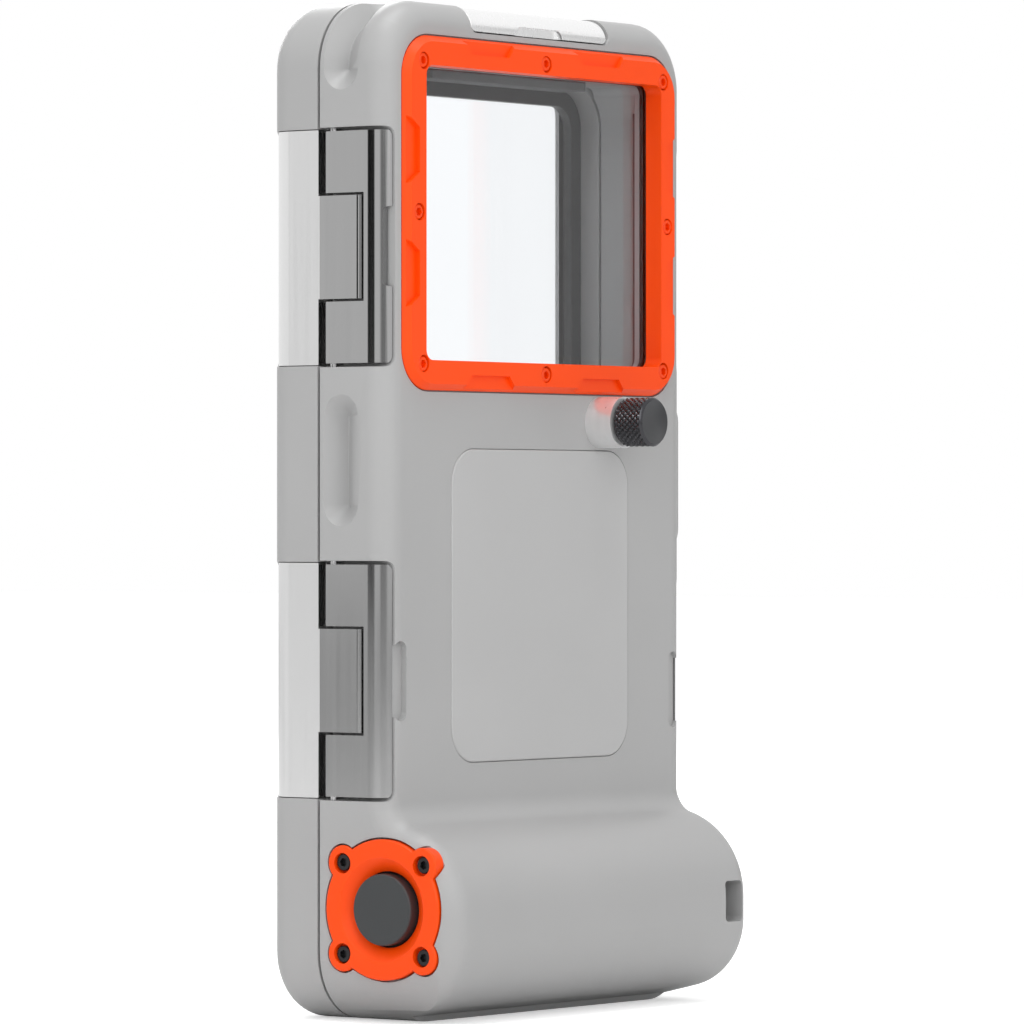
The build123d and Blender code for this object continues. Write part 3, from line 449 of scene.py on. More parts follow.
class Finish(Enum):
    """Every finish on the case."""

    SHELL = MouldedPlastic("shell_plastic", (0.375, 0.375, 0.375), 0.45, 0.10)
    PANEL = MouldedPlastic("panel_plastic", (0.430, 0.430, 0.430), 0.46, 0.16, 4200.0)
    ORANGE = MouldedPlastic("orange_plastic", (0.95, 0.068, 0.0), 0.42, 0.06, 2200.0, 0.03, 0.25)
    ORANGE_METAL = MouldedPlastic("orange_screw_paint", (0.90, 0.060, 0.0), 0.34, 0.05, 3000.0, 0.05, 0.3)
    PLATE = BrushedMetal("satin_plate", (0.77, 0.77, 0.77), 0.22, 0.012, tone=0.02)
    END_PLATE = BrushedMetal("bright_end_plate", (0.92, 0.92, 0.92), 0.26, 0.003, tone=0.01)
    # The levers' own darker satin finish. It is also put on the part of each tongue behind the seam, as
    # painted shade.
    LEVER_AND_PAINTED_TONGUE_SHADE = BrushedMetal("satin_lever_and_painted_tongue_shade", (0.38, 0.38, 0.38), 0.11, 0.008, tone=0.02)
    STEEL = BrushedMetal("pin_steel", (0.62, 0.62, 0.62), 0.26)
    BRASS = BrushedMetal("turned_brass", (0.62, 0.49, 0.28), 0.28)
    DARK_PLATE = BrushedMetal("dark_tripod_plate", (0.085, 0.085, 0.088), 0.42, 0.08, 0.6)
    BLACK_METAL = BrushedMetal("black_screw", (0.03, 0.03, 0.032), 0.30, 0.04, 0.7)
    KNOB = BrushedMetal("knob_black", (0.060, 0.060, 0.065), 0.16, 0.03, 0.9)
    KNOB_END = MouldedPlastic("knob_end", (0.040, 0.041, 0.044), 0.50, 0.06)
    BLACK = MouldedPlastic("black_plastic", (0.014, 0.014, 0.015), 0.45, 0.10)
    RUBBER = MouldedPlastic("seal_rubber", (0.020, 0.020, 0.021), 0.60, 0.14, 1800.0)
    BUTTON = MouldedPlastic("button_rubber", (0.036, 0.039, 0.041), 0.52, 0.14, 3600.0, 0.06)
    PAD = MouldedPlastic("soft_pad", (0.10, 0.10, 0.102), 0.80, 0.40, 1400.0, 0.08)
    BOARD = MouldedPlastic("circuit_board", (0.015, 0.12, 0.045), 0.30, 0.04)
    BOSS = BrushedMetal("valve_boss", (0.76, 0.76, 0.76), 0.30, 0.02, 0.6)
    PANE = ClearPane("clear_pane", (0.98, 0.99, 1.0))
    FLOOR = LitFloor("lit_floor", (0.88, 0.88, 0.88), 0.46)


SKINS: dict[str, tuple[Finish, str]] = {
    "rear_shell": (Finish.SHELL, "shell_grey"),
    "front_cover": (Finish.SHELL, "shell_grey"),
    "back_panel": (Finish.PANEL, "panel_grey"),
    "camera_bezel": (Finish.ORANGE, "orange_plastic"),
    "bezel_screws": (Finish.ORANGE_METAL, "orange_screws"),
    "shutter_bezel": (Finish.ORANGE, "orange_plastic"),
    "shutter_screws": (Finish.BLACK_METAL, "dark_screws"),
    "shutter_button": (Finish.BUTTON, "button_dark"),
    "shutter_membrane": (Finish.RUBBER, "seal_rubber"),
    "tripod_plate": (Finish.DARK_PLATE, "dark_plate"),
    "tripod_screws": (Finish.BLACK_METAL, "dark_screws"),
    "tripod_insert": (Finish.BRASS, "brass_insert"),
    "touch_window": (Finish.PANE, "clear_pane"),
    "camera_window": (Finish.PANE, "clear_pane"),
    "camera_gasket": (Finish.RUBBER, "seal_rubber"),
    "main_seal": (Finish.RUBBER, "seal_rubber"),
    "window_frame": (Finish.BLACK, "black_plastic"),
    "back_cushion": (Finish.PAD, "soft_pad"),
    "end_cushions": (Finish.PAD, "soft_pad"),
    "push_switch": (Finish.BLACK, "black_plastic"),
    "circuit_board": (Finish.BOARD, "board_green"),
    "cell_holder": (Finish.BLACK, "black_plastic"),
    "coin_cell": (Finish.STEEL, "steel"),
    "valve_seal": (Finish.RUBBER, "seal_rubber"),
    "upper_hinge_sleeve": (Finish.BLACK, "black_plastic"),
    "lower_hinge_sleeve": (Finish.BLACK, "black_plastic"),
    "upper_hinge_pin": (Finish.STEEL, "steel"),
    "lower_hinge_pin": (Finish.STEEL, "steel"),
}
for _place in ("upper", "lower"):
    SKINS[f"{_place}_hinge_leaf"] = (Finish.PLATE, "metal_plate")
    SKINS[f"{_place}_hinge_plate"] = (Finish.LEVER_AND_PAINTED_TONGUE_SHADE, "metal_plate")
    SKINS[f"{_place}_keeper"] = (Finish.PLATE, "metal_plate")
    SKINS[f"{_place}_lever"] = (Finish.LEVER_AND_PAINTED_TONGUE_SHADE, "metal_plate")
for _place in ("top", "foot"):
    SKINS[f"{_place}_keeper"] = (Finish.END_PLATE, "metal_plate")
    SKINS[f"{_place}_lever"] = (Finish.END_PLATE, "metal_plate")
for _place in ("upper", "lower", "top", "foot"):
    SKINS[f"{_place}_lever_pins"] = (Finish.STEEL, "steel")


# Workshop

@dataclass
class Workshop:
    """Holds the frame and the built finishes, and turns meshes into finished pieces.
    """

    frame: dict[str, Any]

    def __post_init__(self) -> None:
        """Builds the shared groups and every finish."""
        groups = {"grain": grain_group(), "streaks": streak_group()}
        self.finishes = {finish: finish.value.build(groups) for finish in Finish}
        self.body = {node: body for body, nodes in self.frame["record"]["behaviour"]["bodies"].items()
                     for node in nodes}

    def place(self, name: str, mesh: bpy.types.Mesh, finish: Finish) -> bpy.types.Object:
        """Links a mesh into the scene as an object with one finish."""
        piece = bpy.data.objects.new(name, mesh)
        bpy.context.scene.collection.objects.link(piece)
        mesh.materials.append(self.finishes[finish])
        return piece

    def piece(self, name: str, shape: bmesh.types.BMesh, finish: Finish, slot: str, body: str,
              sharp: float = SHARP_ANGLE) -> bpy.types.Object:
        """Finishes a new bmesh shape as a piece that rides on a body.

        Args:
            name: the piece's name.
            shape: the bmesh, freed here.
            finish: its finish.
            slot: the record's material slot; not used.
            body: the CAD body that it rides on.
            sharp: the angle, in degrees, from which edges stay sharp.

        Returns:
            The new object.
        """
        mesh = bpy.data.meshes.new(name)
        bmesh.ops.recalc_face_normals(shape, faces=shape.faces)
        shape.to_mesh(mesh)
        shape.free()
        mesh.shade_smooth()
        mesh.set_sharp_from_angle(angle=radians(sharp))
        piece = self.place(name, mesh, finish)
        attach(piece, body)
        return piece

    def merged(self, node: str) -> bmesh.types.BMesh:
        """A merged copy of a CAD node's mesh, without the lines across its flat faces."""
        shape = bmesh.new()
        shape.from_mesh(self.frame["nodes"][node].data)
        bmesh.ops.remove_doubles(shape, verts=shape.verts, dist=MERGE)
        bmesh.ops.dissolve_limit(shape, angle_limit=FLAT_ANGLE, verts=shape.verts, edges=shape.edges)
        return shape

    def skin(self, node: str, edge: float = 0.12 * MM, reshape: Optional[Reshape] = None,
             second: Optional[Finish] = None, limit: float = 40.0) -> bpy.types.Object:
        """Makes a merged, softly bevelled copy of a CAD node that stands for it.

        Args:
            node: the CAD node.
            edge: the width of the bevel on its sharp edges, or 0 for none.
            reshape: changes the copy, and marks the faces of a second finish with material index 1.
            second: the second finish.
            limit: the angle, in degrees, from which edges are bevelled.

        Returns:
            The new object.
        """
        finish, slot = SKINS[node]
        shape = self.merged(node)
        if reshape:
            reshape(shape)
        mesh = bpy.data.meshes.new(f"{node}_skin")
        shape.to_mesh(mesh)
        shape.free()
        mesh.shade_smooth()
        mesh.set_sharp_from_angle(angle=radians(SHARP_ANGLE))
        piece = self.place(f"{node}_skin", mesh, finish)
        if second:
            mesh.materials.append(self.finishes[second])
        if edge:
            soften = piece.modifiers.new("edge", "BEVEL")
            soften.width = edge
            soften.segments = 2
            soften.limit_method = "ANGLE"
            soften.angle_limit = radians(limit)
        even = piece.modifiers.new("even", "WEIGHTED_NORMAL")
        even.keep_sharp = True
        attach(piece, self.body[node])
        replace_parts(piece, node)
        return piece


# Sub-assemblies

@dataclass
class Shells:
    """The two moulded halves and what lines them.

    Args:
        nodes: the pieces beside the rear shell.
        half_width: half the width of the body.
        height: height of the body.
        corner: radius of its corners.
        groove: where the finger grooves start and end behind the seam, in millimetres.
        groove_depth: depth of the grooves in the CAD.
        groove_gain: how much deeper they get, as a share of their depth.
        groove_lean: how far the floor of a groove moves forward, or back below 0.
        groove_run: how far a corner groove runs on past its corner.
        side_groove: the middle height and half the length of the groove on the latch side.
        scrape: the depth below which a vertex counts as on the surface.
        valve: the valve's x and z, and the radius of its boss.
        boss_start: how far behind the seam the boss starts, in millimetres.
    """

    nodes: tuple[str, ...] = ("front_cover", "back_panel", "window_frame", "touch_window", "back_cushion",
                              "end_cushions")
    half_width: float = 49.0 * MM
    height: float = 192.0 * MM
    corner: float = 13.0 * MM
    groove: tuple[float, float] = (1.25, 9.35)
    groove_depth: float = 1.5 * MM
    groove_gain: float = 1.5
    groove_lean: float = -0.9 * MM
    groove_run: float = 5.0 * MM
    side_groove: tuple[float, float] = (105.4 * MM, 12.3 * MM)
    scrape: float = 0.02 * MM
    valve: tuple[float, float, float] = (-19.5 * MM, 113.2 * MM, 5.3 * MM)
    boss_start: float = 15.9

    def build(self, shop: Workshop) -> list[bpy.types.Object]:
        """Dresses every piece of the body."""
        shell = shop.skin("rear_shell", reshape=self.carve, second=Finish.BOSS)
        return [shell, shop.skin("main_seal", 0.0)] + [shop.skin(node) for node in self.nodes]

    def carve(self, shape: bmesh.types.BMesh) -> None:
        """Deepens the finger grooves and marks the valve's boss as bare metal."""
        for vert in shape.verts:
            if self.groove[0] < depth_of(vert.co) < self.groove[1]:
                inward = self.inward(vert.co)
                if inward.length > self.scrape:
                    lean = inward.length / self.groove_depth * self.groove_lean
                    vert.co += inward * self.groove_gain - Vector((0, lean, 0))
        across, up, radius = self.valve
        for face in shape.faces:
            middle = face.calc_center_median()
            if depth_of(middle) > self.boss_start and hypot(middle.x - across, middle.z - up) < radius:
                face.material_index = 1

    def inward(self, point: Vector) -> Vector:
        """The way from the body's surface to a point of a groove, or nothing elsewhere.

        Args:
            point: a vertex of the rear shell.

        Returns:
            The vector from the surface to the point, square to the surface.
        """
        side = 1.0 if point.x > 0 else -1.0
        middle = Vector((side * (self.half_width - self.corner), point.y, self.height - self.corner))
        away = point - middle
        height, half_length = self.side_groove
        if away.x * side > 0 and away.z > 0:
            out = away.normalized()
            depth = self.corner - away.length
        elif -self.groove_run < away.z <= 0 or (side > 0 and abs(point.z - height) < half_length):
            out = Vector((side, 0, 0))
            depth = self.half_width - abs(point.x)
        elif -self.groove_run < away.x * side <= 0 and away.z > 0:
            out = Vector((0, 0, 1))
            depth = self.height - point.z
        else:
            return Vector()
        return -out * depth if 0 < depth < self.groove_depth + 5 * SAME else Vector()


@dataclass
class EdgePlates:
    """The satin plates, levers and hinges round the case's edge.

    Args:
        trim: how much each end of a plate is shortened, so that its joint shows as a dark line.
        edge: the bevel of the plates.
        nose: the rounding of a tongue's end.
        nose_trim: how much a tongue's end is shortened.
        nose_steps: faces across the rounding.
    """

    trim: float = 0.12 * MM
    edge: float = 0.22 * MM
    nose: float = 1.3 * MM
    nose_trim: float = 0.35 * MM
    nose_steps: int = 5

    def build(self, shop: Workshop) -> list[bpy.types.Object]:
        """Dresses plates, levers, sleeves and pins. The part of a tongue behind the seam gets the levers'
        darker finish, as painted shade.
        """
        pieces = []
        for place in ("upper", "lower"):
            # Painted shade: the part of a keeper's or leaf's tongue behind the seam gets the darker lever
            # finish.
            pieces += [shop.skin(f"{place}_keeper", self.edge, self.keeper, Finish.LEVER_AND_PAINTED_TONGUE_SHADE),
                       shop.skin(f"{place}_hinge_leaf", self.edge, self.leaf, Finish.LEVER_AND_PAINTED_TONGUE_SHADE)]
            pieces += [shop.skin(f"{place}_{kind}", self.edge, self.shortened)
                       for kind in ("lever", "hinge_plate")]
            pieces += [shop.skin(f"{place}_hinge_{kind}") for kind in ("sleeve", "pin")]
        for place in ("top", "foot"):
            pieces += [shop.skin(f"{place}_{kind}", self.edge) for kind in ("keeper", "lever")]
        return pieces + [shop.skin(f"{place}_lever_pins") for place in ("upper", "lower", "top", "foot")]

    def shortened(self, shape: bmesh.types.BMesh) -> None:
        """Trims the lower and upper end of an upright plate."""
        low, high = span(shape.verts)
        for vert in shape.verts:
            if vert.co.z < low.z + SAME:
                vert.co.z += self.trim
            elif vert.co.z > high.z - SAME:
                vert.co.z -= self.trim

    def leaf(self, shape: bmesh.types.BMesh) -> None:
        """Trims a cover's plate and marks what lies behind the seam for the darker finish, as painted shade.
        """
        self.shortened(shape)
        bmesh.ops.bisect_plane(shape, geom=shape.verts[:] + shape.edges[:] + shape.faces[:], dist=ON_PLANE,
                               plane_co=(0, SEAM_Y, 0), plane_no=(0, 1, 0))
        # Painted shade: faces behind the seam take the second, darker finish.
        for face in shape.faces:
            face.material_index = int(face.calc_center_median().y > SEAM_Y)

    def keeper(self, shape: bmesh.types.BMesh) -> None:
        """Trims a keeper, and shortens and rounds the end of its tongue."""
        end = span(shape.verts)[1].y
        tip = [vert for vert in shape.verts if vert.co.y > end - SAME]
        for vert in tip:
            vert.co.y -= self.nose_trim
        out = span(tip)[1].x
        ridge = [edge for edge in shape.edges
                 if all(vert in tip and vert.co.x > out - SAME for vert in edge.verts)]
        bmesh.ops.bevel(shape, geom=ridge, offset=self.nose, segments=self.nose_steps, profile=0.5,
                        affect="EDGES")
        self.leaf(shape)


@dataclass
class SocketScrews:
    """The cap screws of one node, remade with a hexagon socket in each head.

    Args:
        node: the CAD node that they stand for.
        out: the direction that the heads face.
        head: the head's height.
        shank: the shank's radius.
        edge: the chamfer round the head.
        socket: the socket's radius at its corners.
        depth: the socket's depth.
        sides: vertices round a screw.
        slim: how much less its radius is than the CAD's, for a dark ring round it.
        sunk: how much lower its top is than the CAD's.
        twist: how much further each socket is turned than the one before.
    """

    node: str
    out: Vector
    head: float = 1.4 * MM
    shank: float = 0.85 * MM
    edge: float = 0.18 * MM
    socket: float = 0.80 * MM
    depth: float = 0.80 * MM
    sides: int = 48
    slim: float = 0.0
    sunk: float = 0.0
    twist: float = radians(17)

    def build(self, shop: Workshop) -> bpy.types.Object:
        """Makes a screw at each place where the node has one."""
        finish, slot = SKINS[self.node]
        shape = bmesh.new()
        source = shop.merged(self.node)
        for index, (low, high) in enumerate(self.boxes(source)):
            self.screw(shape, low, high, index * self.twist)
        source.free()
        piece = shop.piece(f"{self.node}_socketed", shape, finish, slot, shop.body[self.node], 40.0)
        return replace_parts(piece, self.node)

    def boxes(self, source: bmesh.types.BMesh) -> Iterator[tuple[Vector, Vector]]:
        """Finds the lowest and highest corners of each screw of the node."""
        found = set()
        for start in source.verts:
            if start in found:
                continue
            found.add(start)
            reach = [start]
            for vert in reach:
                for edge in vert.link_edges:
                    other = edge.other_vert(vert)
                    if other not in found:
                        found.add(other)
                        reach.append(other)
            yield span(reach)

    def screw(self, shape: bmesh.types.BMesh, low: Vector, high: Vector, turn: float) -> None:
        """Adds one screw inside the box of the CAD's one.

        Args:
            shape: the mesh that it is added to.
            low: the box's lowest corner.
            high: the box's highest corner.
            turn: how far the socket is turned.
        """
        size, centre = high - low, (low + high) / 2
        length = abs(size.dot(self.out))
        radius = (sum(size) - length) / 4 - self.slim
        top = centre + self.out * (length / 2 - self.sunk)
        place = Matrix.Translation(top) @ self.out.to_track_quat("Z", "Y").to_matrix().to_4x4()
        hexagon = bmesh.ops.create_circle(shape, cap_ends=False, radius=self.socket, segments=6,
                                          matrix=place @ Matrix.Rotation(turn, 4, "Z"))["verts"]
        split = bmesh.ops.subdivide_edges(shape, edges=edges_of(hexagon), cuts=self.sides // 6 - 1)["geom"]
        inner = [item for item in split if isinstance(item, bmesh.types.BMEdge)]
        rim = bmesh.ops.create_circle(shape, cap_ends=False, radius=radius - self.edge, segments=self.sides,
                                      matrix=place)["verts"]
        outer = edges_of(rim)
        bmesh.ops.bridge_loops(shape, edges=inner + outer)
        bottom = self.step(shape, inner, place, self.depth, 1.0)
        bmesh.ops.contextual_create(shape, geom=bottom)
        head_side = self.head - self.edge - self.sunk
        for depth, scale in ((self.edge, radius / (radius - self.edge)), (head_side, 1.0),
                             (0.0, self.shank / radius), (length - self.head, 1.0)):
            outer = self.step(shape, outer, place, depth, scale)
        bmesh.ops.contextual_create(shape, geom=outer)

    def step(self, shape: bmesh.types.BMesh, loop: list[bmesh.types.BMEdge], place: Matrix, depth: float,
             scale: float) -> list[bmesh.types.BMEdge]:
        """Extrudes a loop into the screw and scales it about the axis.

        Args:
            shape: the screw's mesh.
            loop: the loop's edges.
            place: the screw's axis and top.
            depth: how far the new loop goes in.
            scale: the new loop's size against the old one's.

        Returns:
            The new loop's edges.
        """
        made = bmesh.ops.extrude_edge_only(shape, edges=loop)["geom"]
        verts = [item for item in made if isinstance(item, bmesh.types.BMVert)]
        bmesh.ops.scale(shape, verts=verts, vec=(scale, scale, 1.0), space=place.inverted())
        bmesh.ops.translate(shape, verts=verts, vec=-self.out * depth)
        return [item for item in made if isinstance(item, bmesh.types.BMEdge)
                and all(vert in verts for vert in item.verts)]


@dataclass
class CameraWindow:
    """The orange bezel with its screws, the pane and its gasket.

    Args:
        joint: how much the bezel's outline is drawn in.
    """

    joint: float = 0.15 * MM

    def build(self, shop: Workshop) -> list[bpy.types.Object]:
        """Dresses the camera window."""
        screws = SocketScrews("bezel_screws", Vector((0, 1, 0)), socket=0.85 * MM, slim=0.2 * MM,
                              sunk=0.12 * MM)
        return [shop.skin("camera_bezel", 0.18 * MM, self.draw_in), shop.skin("camera_window"),
                shop.skin("camera_gasket"), screws.build(shop)]

    def draw_in(self, shape: bmesh.types.BMesh) -> None:
        """Draws the bezel's outline in a little, so that the joint round it shows."""
        low, high = span(shape.verts)
        middle, half = (low + high) / 2, (high - low) / 2
        for vert in shape.verts:
            for axis in (0, 2):
                away = (vert.co[axis] - middle[axis]) / half[axis]
                vert.co[axis] -= self.joint * away ** 3


@dataclass
class TripodPad:
    """The tripod plate, its screws and the threaded insert.

    Args:
        pitch: the thread's pitch.
        thread_depth: how far the ridge stands into the hole.
        radius: the hole's radius.
        start: how far inside the hole the thread starts.
        flank: the width of the ridge's flank, as a share of the pitch.
        steps: steps of the helix in a turn.
    """

    pitch: float = 1.27 * MM
    thread_depth: float = 0.45 * MM
    radius: float = 2.6 * MM
    start: float = 0.2 * MM
    flank: float = 0.36
    steps: int = 24

    def build(self, shop: Workshop) -> list[bpy.types.Object]:
        """Dresses the pad and cuts the thread."""
        pieces = [shop.skin(node) for node in ("tripod_plate", "tripod_insert")]
        screws = SocketScrews("tripod_screws", Vector((-1, 0, 0)), shank=0.9 * MM, socket=0.9 * MM)
        return pieces + [screws.build(shop), self.thread(shop)]

    def thread(self, shop: Workshop) -> bpy.types.Object:
        """Spins a ridge into a helix inside the insert."""
        low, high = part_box("tripod_insert")
        centre = (low + high) / 2
        turns = int((high.x - low.x) / self.pitch) - 1
        shape = bmesh.new()
        start, flank = low.x + self.start, self.pitch * self.flank
        corners = [(start, self.radius), (start + flank, self.radius - self.thread_depth),
                   (start + 2 * flank, self.radius)]
        verts = [shape.verts.new((x, centre.y + r, centre.z)) for x, r in corners]
        shape.faces.new(verts)
        bmesh.ops.spin(shape, geom=shape.faces[:] + shape.edges[:] + shape.verts[:], cent=centre,
                       axis=(1, 0, 0), dvec=(self.pitch / self.steps, 0, 0), angle=tau * turns,
                       steps=self.steps * turns, use_merge=False)
        return shop.piece("tripod_thread", shape, Finish.BRASS, "brass_insert", "case")


@dataclass
class Shutter:
    """The eared bezel, its screws, the membrane, the button and the parts behind it.

    Args:
        joint: how much the bezel's outline is drawn in.
        inner: from which distance off the button's axis.
    """

    joint: float = 0.22 * MM
    inner: float = 10.3 * MM

    def build(self, shop: Workshop) -> list[bpy.types.Object]:
        """Dresses the shutter."""
        screws = SocketScrews("shutter_screws", Vector((1, 0, 0)), socket=0.85 * MM, slim=0.3 * MM,
                              sunk=0.35 * MM)
        nodes = ("shutter_membrane", "push_switch", "circuit_board", "cell_holder", "coin_cell")
        pieces = [shop.skin("shutter_bezel", 0.20 * MM, self.draw_in, limit=30.0),
                  shop.skin("shutter_button", 0.25 * MM)]
        return pieces + [shop.skin(node) for node in nodes] + [screws.build(shop)]

    def draw_in(self, shape: bmesh.types.BMesh) -> None:
        """Draws the eared outline in a little, so that the joint round it shows."""
        low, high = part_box("shutter_button")
        middle = (low + high) / 2
        for vert in shape.verts:
            away = Vector((0, vert.co.y - middle.y, vert.co.z - middle.z))
            if away.length > self.inner:
                vert.co -= away.normalized() * self.joint


@dataclass
class Valve:
    """The knurled air valve knob.

    Args:
        diamonds: how many knurl diamonds go round the knob.
        cut: the knurl's depth.
        rim: the plain chamfer at both ends.
        rings: rings of vertices along the knob.
        steps: vertices round the knob.
        stem: the stem's radius.
        grip: the length of the part that is held.
        slant: how steeply the knurl's lines climb.
    """

    diamonds: int = 26
    cut: float = 0.32 * MM
    rim: float = 0.5 * MM
    rings: int = 40
    steps: int = 208
    stem: float = 2.44 * MM
    grip: float = 6.8 * MM
    slant: float = 0.9

    def build(self, shop: Workshop) -> list[bpy.types.Object]:
        """Dresses the seal and makes the knob."""
        return [shop.skin("valve_seal", 0.0), self.knob(shop)]

    def knob(self, shop: Workshop) -> bpy.types.Object:
        """Turns the knob and its stem, and cuts the crossed knurl into the grip."""
        low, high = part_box("valve_knob")
        axis_x, axis_z = (low.x + high.x) / 2, (low.z + high.z) / 2
        radius = (high.z - low.z) / 2
        grip_start, grip_end = high.y - self.grip, high.y
        profile = [(low.y, 0.0), (low.y, self.stem), (grip_start, self.stem), (grip_start, radius - self.rim)]
        knurled = self.grip - 2 * self.rim
        for ring in range(self.rings + 1):
            profile.append((grip_start + self.rim + knurled * ring / self.rings, radius))
        profile += [(grip_end, radius - self.rim), (grip_end, 0.0)]
        shape = bmesh.new()
        verts = [shape.verts.new((axis_x + r, y, axis_z)) for y, r in profile]
        for first, second in zip(verts, verts[1:]):
            shape.edges.new((first, second))
        bmesh.ops.spin(shape, geom=shape.verts[:] + shape.edges[:], cent=(axis_x, 0, axis_z),
                       axis=(0, 1, 0), angle=tau, steps=self.steps, use_merge=True)
        bmesh.ops.remove_doubles(shape, verts=shape.verts, dist=ON_PLANE)
        lead = self.diamonds / radius * self.slant
        for vert in shape.verts:
            across, up = vert.co.x - axis_x, vert.co.z - axis_z
            reach = hypot(across, up)
            if reach < radius - MERGE or not grip_start + self.rim < vert.co.y < grip_end - self.rim:
                continue
            turn = atan2(up, across) * self.diamonds
            along = (vert.co.y - grip_start) * lead
            ridge = min(abs(sin((turn + along) / 2)), abs(sin((turn - along) / 2)))
            inner = (radius - self.cut * (1 - ridge)) / reach
            vert.co.x, vert.co.z = axis_x + across * inner, axis_z + up * inner
        for face in shape.faces:
            face.material_index = int(face.calc_center_median().y > grip_end - SAME)
        piece = shop.piece("valve_knob_knurled", shape, Finish.KNOB, "knurled_black", "valve_knob", 50.0)
        piece.data.materials.append(shop.finishes[Finish.KNOB_END])
        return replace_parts(piece, "valve_knob")


# Studio

@dataclass
class Softbox:
    """One soft rectangular lamp.

    Args:
        name: lamp name.
        place: where it stands, from the middle of the case.
        size: its two sides.
        power: watts.
        mirrored: whether the gloss of the case shows the lamp.
    """

    name: str
    place: tuple[float, float, float]
    size: tuple[float, float]
    power: float
    mirrored: bool = True

    def build(self, aim: Vector) -> bpy.types.Object:
        """Hangs the lamp so that it faces a point."""
        lamp = bpy.data.lights.new(self.name, "AREA")
        lamp.shape = "RECTANGLE"
        lamp.size, lamp.size_y = self.size
        lamp.energy = self.power
        holder = bpy.data.objects.new(self.name, lamp)
        holder.location = aim + Vector(self.place)
        holder.visible_glossy = self.mirrored
        holder.rotation_euler = (aim - holder.location).to_track_quat("-Z", "Y").to_euler()
        bpy.context.scene.collection.objects.link(holder)
        return holder


@dataclass(frozen=True)
class Card:
    """A dark card beside the case that only its gloss shows.

    Args:
        azimuth: its direction, in degrees from +Y towards +X.
        middle: half the angle of its even middle.
        edge: half the angle of the whole card.
        level: its brightness.
    """

    azimuth: float
    middle: float
    edge: float
    level: float


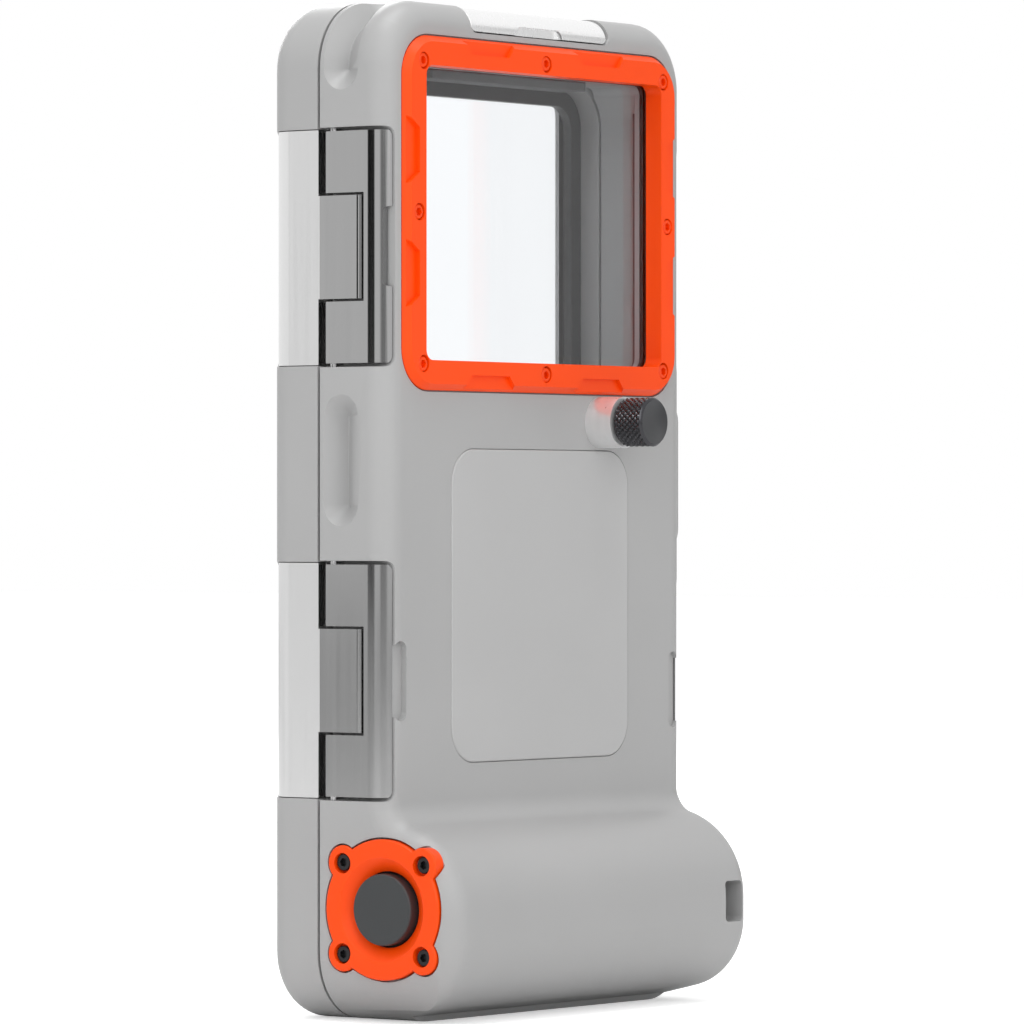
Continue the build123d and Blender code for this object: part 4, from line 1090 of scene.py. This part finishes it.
@dataclass
class Studio:
    """Camera, floor, lamps and surroundings.

    Args:
        turn: the camera's angle from the back's normal towards +X, in degrees.
        distance: from the seam's middle to the camera.
        aim_height: height of the point that the camera was fitted on.
        camera_height: height of the camera.
        lens: focal length on a 36 mm sensor.
        shift: sideways shift that centres the case.
        floor_size: side of the floor.
        light: brightness of the surroundings.
        cards: the cards round the case.
        card_top: the rise, as a share of the distance, at which the cards start to fade and end.
    """

    turn: float = 53.43
    distance: float = 1.296
    aim_height: float = 0.0958
    camera_height: float = 0.0936
    lens: float = 235.2
    shift: float = 0.037
    floor_size: float = 12.0
    light: float = 0.62
    cards: tuple[Card, ...] = (Card(105.0, 15.0, 21.0, 0.02), Card(285.0, 15.0, 21.0, 0.02),
                               Card(44.0, 8.0, 20.0, 0.32))
    card_top: tuple[float, float] = (0.24, 0.36)

    def build(self, shop: Workshop) -> None:
        """Sets up the whole studio."""
        self.camera()
        self.floor(shop)
        self.world()
        aim = Vector((0, 0, 0.1))
        for lamp in (Softbox("key_lamp", (0.65, 1.10, 0.65), (1.0, 1.0), 5.2),
                     Softbox("side_lamp", (1.20, 0.30, 0.35), (0.8, 0.8), 3.2, False),
                     Softbox("top_lamp", (0.1, 0.1, 1.2), (0.7, 0.7), 7.0),
                     Softbox("front_lamp", (-0.8, -1.05, 0.6), (0.6, 0.6), 5.5)):
            lamp.build(aim)

    def camera(self) -> None:
        """Stands the camera where the photograph was taken from."""
        lens = bpy.data.cameras.new("camera")
        lens.sensor_width = 36.0
        lens.lens = self.lens
        lens.shift_x = self.shift
        lens.clip_start, lens.clip_end = 0.05, 20.0
        eye = bpy.data.objects.new("camera", lens)
        bpy.context.scene.collection.objects.link(eye)
        turn = radians(self.turn)
        away = Vector((sin(turn), cos(turn), 0)) * self.distance
        aim = Vector((0, SEAM_Y, self.aim_height))
        eye.location = Vector((away.x, away.y + SEAM_Y, self.camera_height))
        eye.rotation_euler = (aim - eye.location).to_track_quat("-Z", "Y").to_euler()
        bpy.context.scene.camera = eye

    def floor(self, shop: Workshop) -> None:
        """Lays the pale floor."""
        shape = bmesh.new()
        bmesh.ops.create_grid(shape, x_segments=8, y_segments=8, size=self.floor_size / 2)
        mesh = bpy.data.meshes.new("studio_floor")
        shape.to_mesh(mesh)
        shape.free()
        shop.place("studio_floor", mesh, Finish.FLOOR)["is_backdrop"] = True

    def world(self) -> None:
        """Gives white surroundings, and dark cards beside the case that only its gloss shows."""
        world = bpy.data.worlds.new("studio")
        world.use_nodes = True
        tree = world.node_tree
        place = tree.nodes.new("ShaderNodeTexCoord")
        level = tree.nodes.new("ShaderNodeVectorMath")
        level.operation = "MULTIPLY"
        level.inputs[1].default_value = (1.0, 1.0, 0.0)
        tree.links.new(place.outputs["Generated"], level.inputs[0])
        round_about = tree.nodes.new("ShaderNodeVectorMath")
        round_about.operation = "NORMALIZE"
        tree.links.new(level.outputs["Vector"], round_about.inputs[0])
        gloss = None
        for card in self.cards:
            facing = tree.nodes.new("ShaderNodeVectorMath")
            facing.operation = "DOT_PRODUCT"
            facing.inputs[1].default_value = (sin(radians(card.azimuth)), cos(radians(card.azimuth)), 0.0)
            tree.links.new(round_about.outputs["Vector"], facing.inputs[0])
            shade = tree.nodes.new("ShaderNodeMapRange")
            shade.interpolation_type = "SMOOTHSTEP"
            shade.inputs["From Min"].default_value = cos(radians(card.edge))
            shade.inputs["From Max"].default_value = cos(radians(card.middle))
            shade.inputs["To Min"].default_value = 1.0
            shade.inputs["To Max"].default_value = card.level
            tree.links.new(facing.outputs["Value"], shade.inputs["Value"])
            gloss = self.both(tree, gloss, shade.outputs["Result"])
        gloss = self.above(tree, place.outputs["Generated"], gloss)
        path = tree.nodes.new("ShaderNodeLightPath")
        seen = self.pick(tree, path.outputs["Is Glossy Ray"], self.light, gloss)
        seen = self.pick(tree, path.outputs["Is Camera Ray"], seen, 1.0)
        tree.links.new(seen, tree.nodes["Background"].inputs["Strength"])
        tree.nodes["Background"].inputs["Color"].default_value = rgba((1.0, 1.0, 1.0))
        bpy.context.scene.world = world
        bpy.context.scene.view_settings.view_transform = "Standard"

    def above(self, tree: bpy.types.NodeTree, direction: bpy.types.NodeSocket,
              level: bpy.types.NodeSocket) -> bpy.types.NodeSocket:
        """Fades the cards to white above and below their ends."""
        parts = tree.nodes.new("ShaderNodeSeparateXYZ")
        tree.links.new(direction, parts.inputs["Vector"])
        rise = tree.nodes.new("ShaderNodeMath")
        rise.operation = "ABSOLUTE"
        tree.links.new(parts.outputs["Z"], rise.inputs[0])
        fade = tree.nodes.new("ShaderNodeMapRange")
        fade.interpolation_type = "SMOOTHSTEP"
        fade.inputs["From Min"].default_value, fade.inputs["From Max"].default_value = self.card_top
        tree.links.new(rise.outputs["Value"], fade.inputs["Value"])
        lighter = tree.nodes.new("ShaderNodeMath")
        lighter.operation = "MAXIMUM"
        tree.links.new(fade.outputs["Result"], lighter.inputs[0])
        tree.links.new(level, lighter.inputs[1])
        return lighter.outputs["Value"]

    def both(self, tree: bpy.types.NodeTree, first: Optional[bpy.types.NodeSocket],
             second: bpy.types.NodeSocket) -> bpy.types.NodeSocket:
        """Multiplies a level, where there is one yet, by another."""
        if first is None:
            return second
        node = tree.nodes.new("ShaderNodeMath")
        node.operation = "MULTIPLY"
        tree.links.new(first, node.inputs[0])
        tree.links.new(second, node.inputs[1])
        return node.outputs["Value"]

    def pick(self, tree: bpy.types.NodeTree, test: bpy.types.NodeSocket, when_no: Any,
             when_yes: Any) -> bpy.types.NodeSocket:
        """Chooses between two levels, each a number or a socket.

        Args:
            tree: the world's nodes.
            test: 0 for the first level and 1 for the second.
            when_no: the first level.
            when_yes: the second level.

        Returns:
            The chosen level's socket.
        """
        node = tree.nodes.new("ShaderNodeMix")
        node.data_type = "FLOAT"
        tree.links.new(test, node.inputs["Factor"])
        for name, value in (("A", when_no), ("B", when_yes)):
            if isinstance(value, float):
                node.inputs[name].default_value = value
            else:
                tree.links.new(value, node.inputs[name])
        return node.outputs["Result"]


def corners(box: tuple[Vector, Vector]) -> list[list[float]]:
    """A box as plain lists of numbers."""
    return [list(point) for point in box]


def main() -> None:
    """Loads the frame, dresses the case and lights it."""
    logging.basicConfig(level=logging.INFO, format="%(message)s")
    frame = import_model()
    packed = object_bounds()
    shop = Workshop(frame)
    makers: tuple[Any, ...] = (Shells(), EdgePlates(), CameraWindow(), TripodPad(), Shutter(), Valve())
    for maker in makers:
        for piece in maker.build(shop):
            log.info("%s: %s, %d faces", type(maker).__name__, piece.name, len(piece.data.polygons))
    Studio().build(shop)
    {"cad": corners(packed), "visual": corners(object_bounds())}


if __name__ == "__main__":
    main()
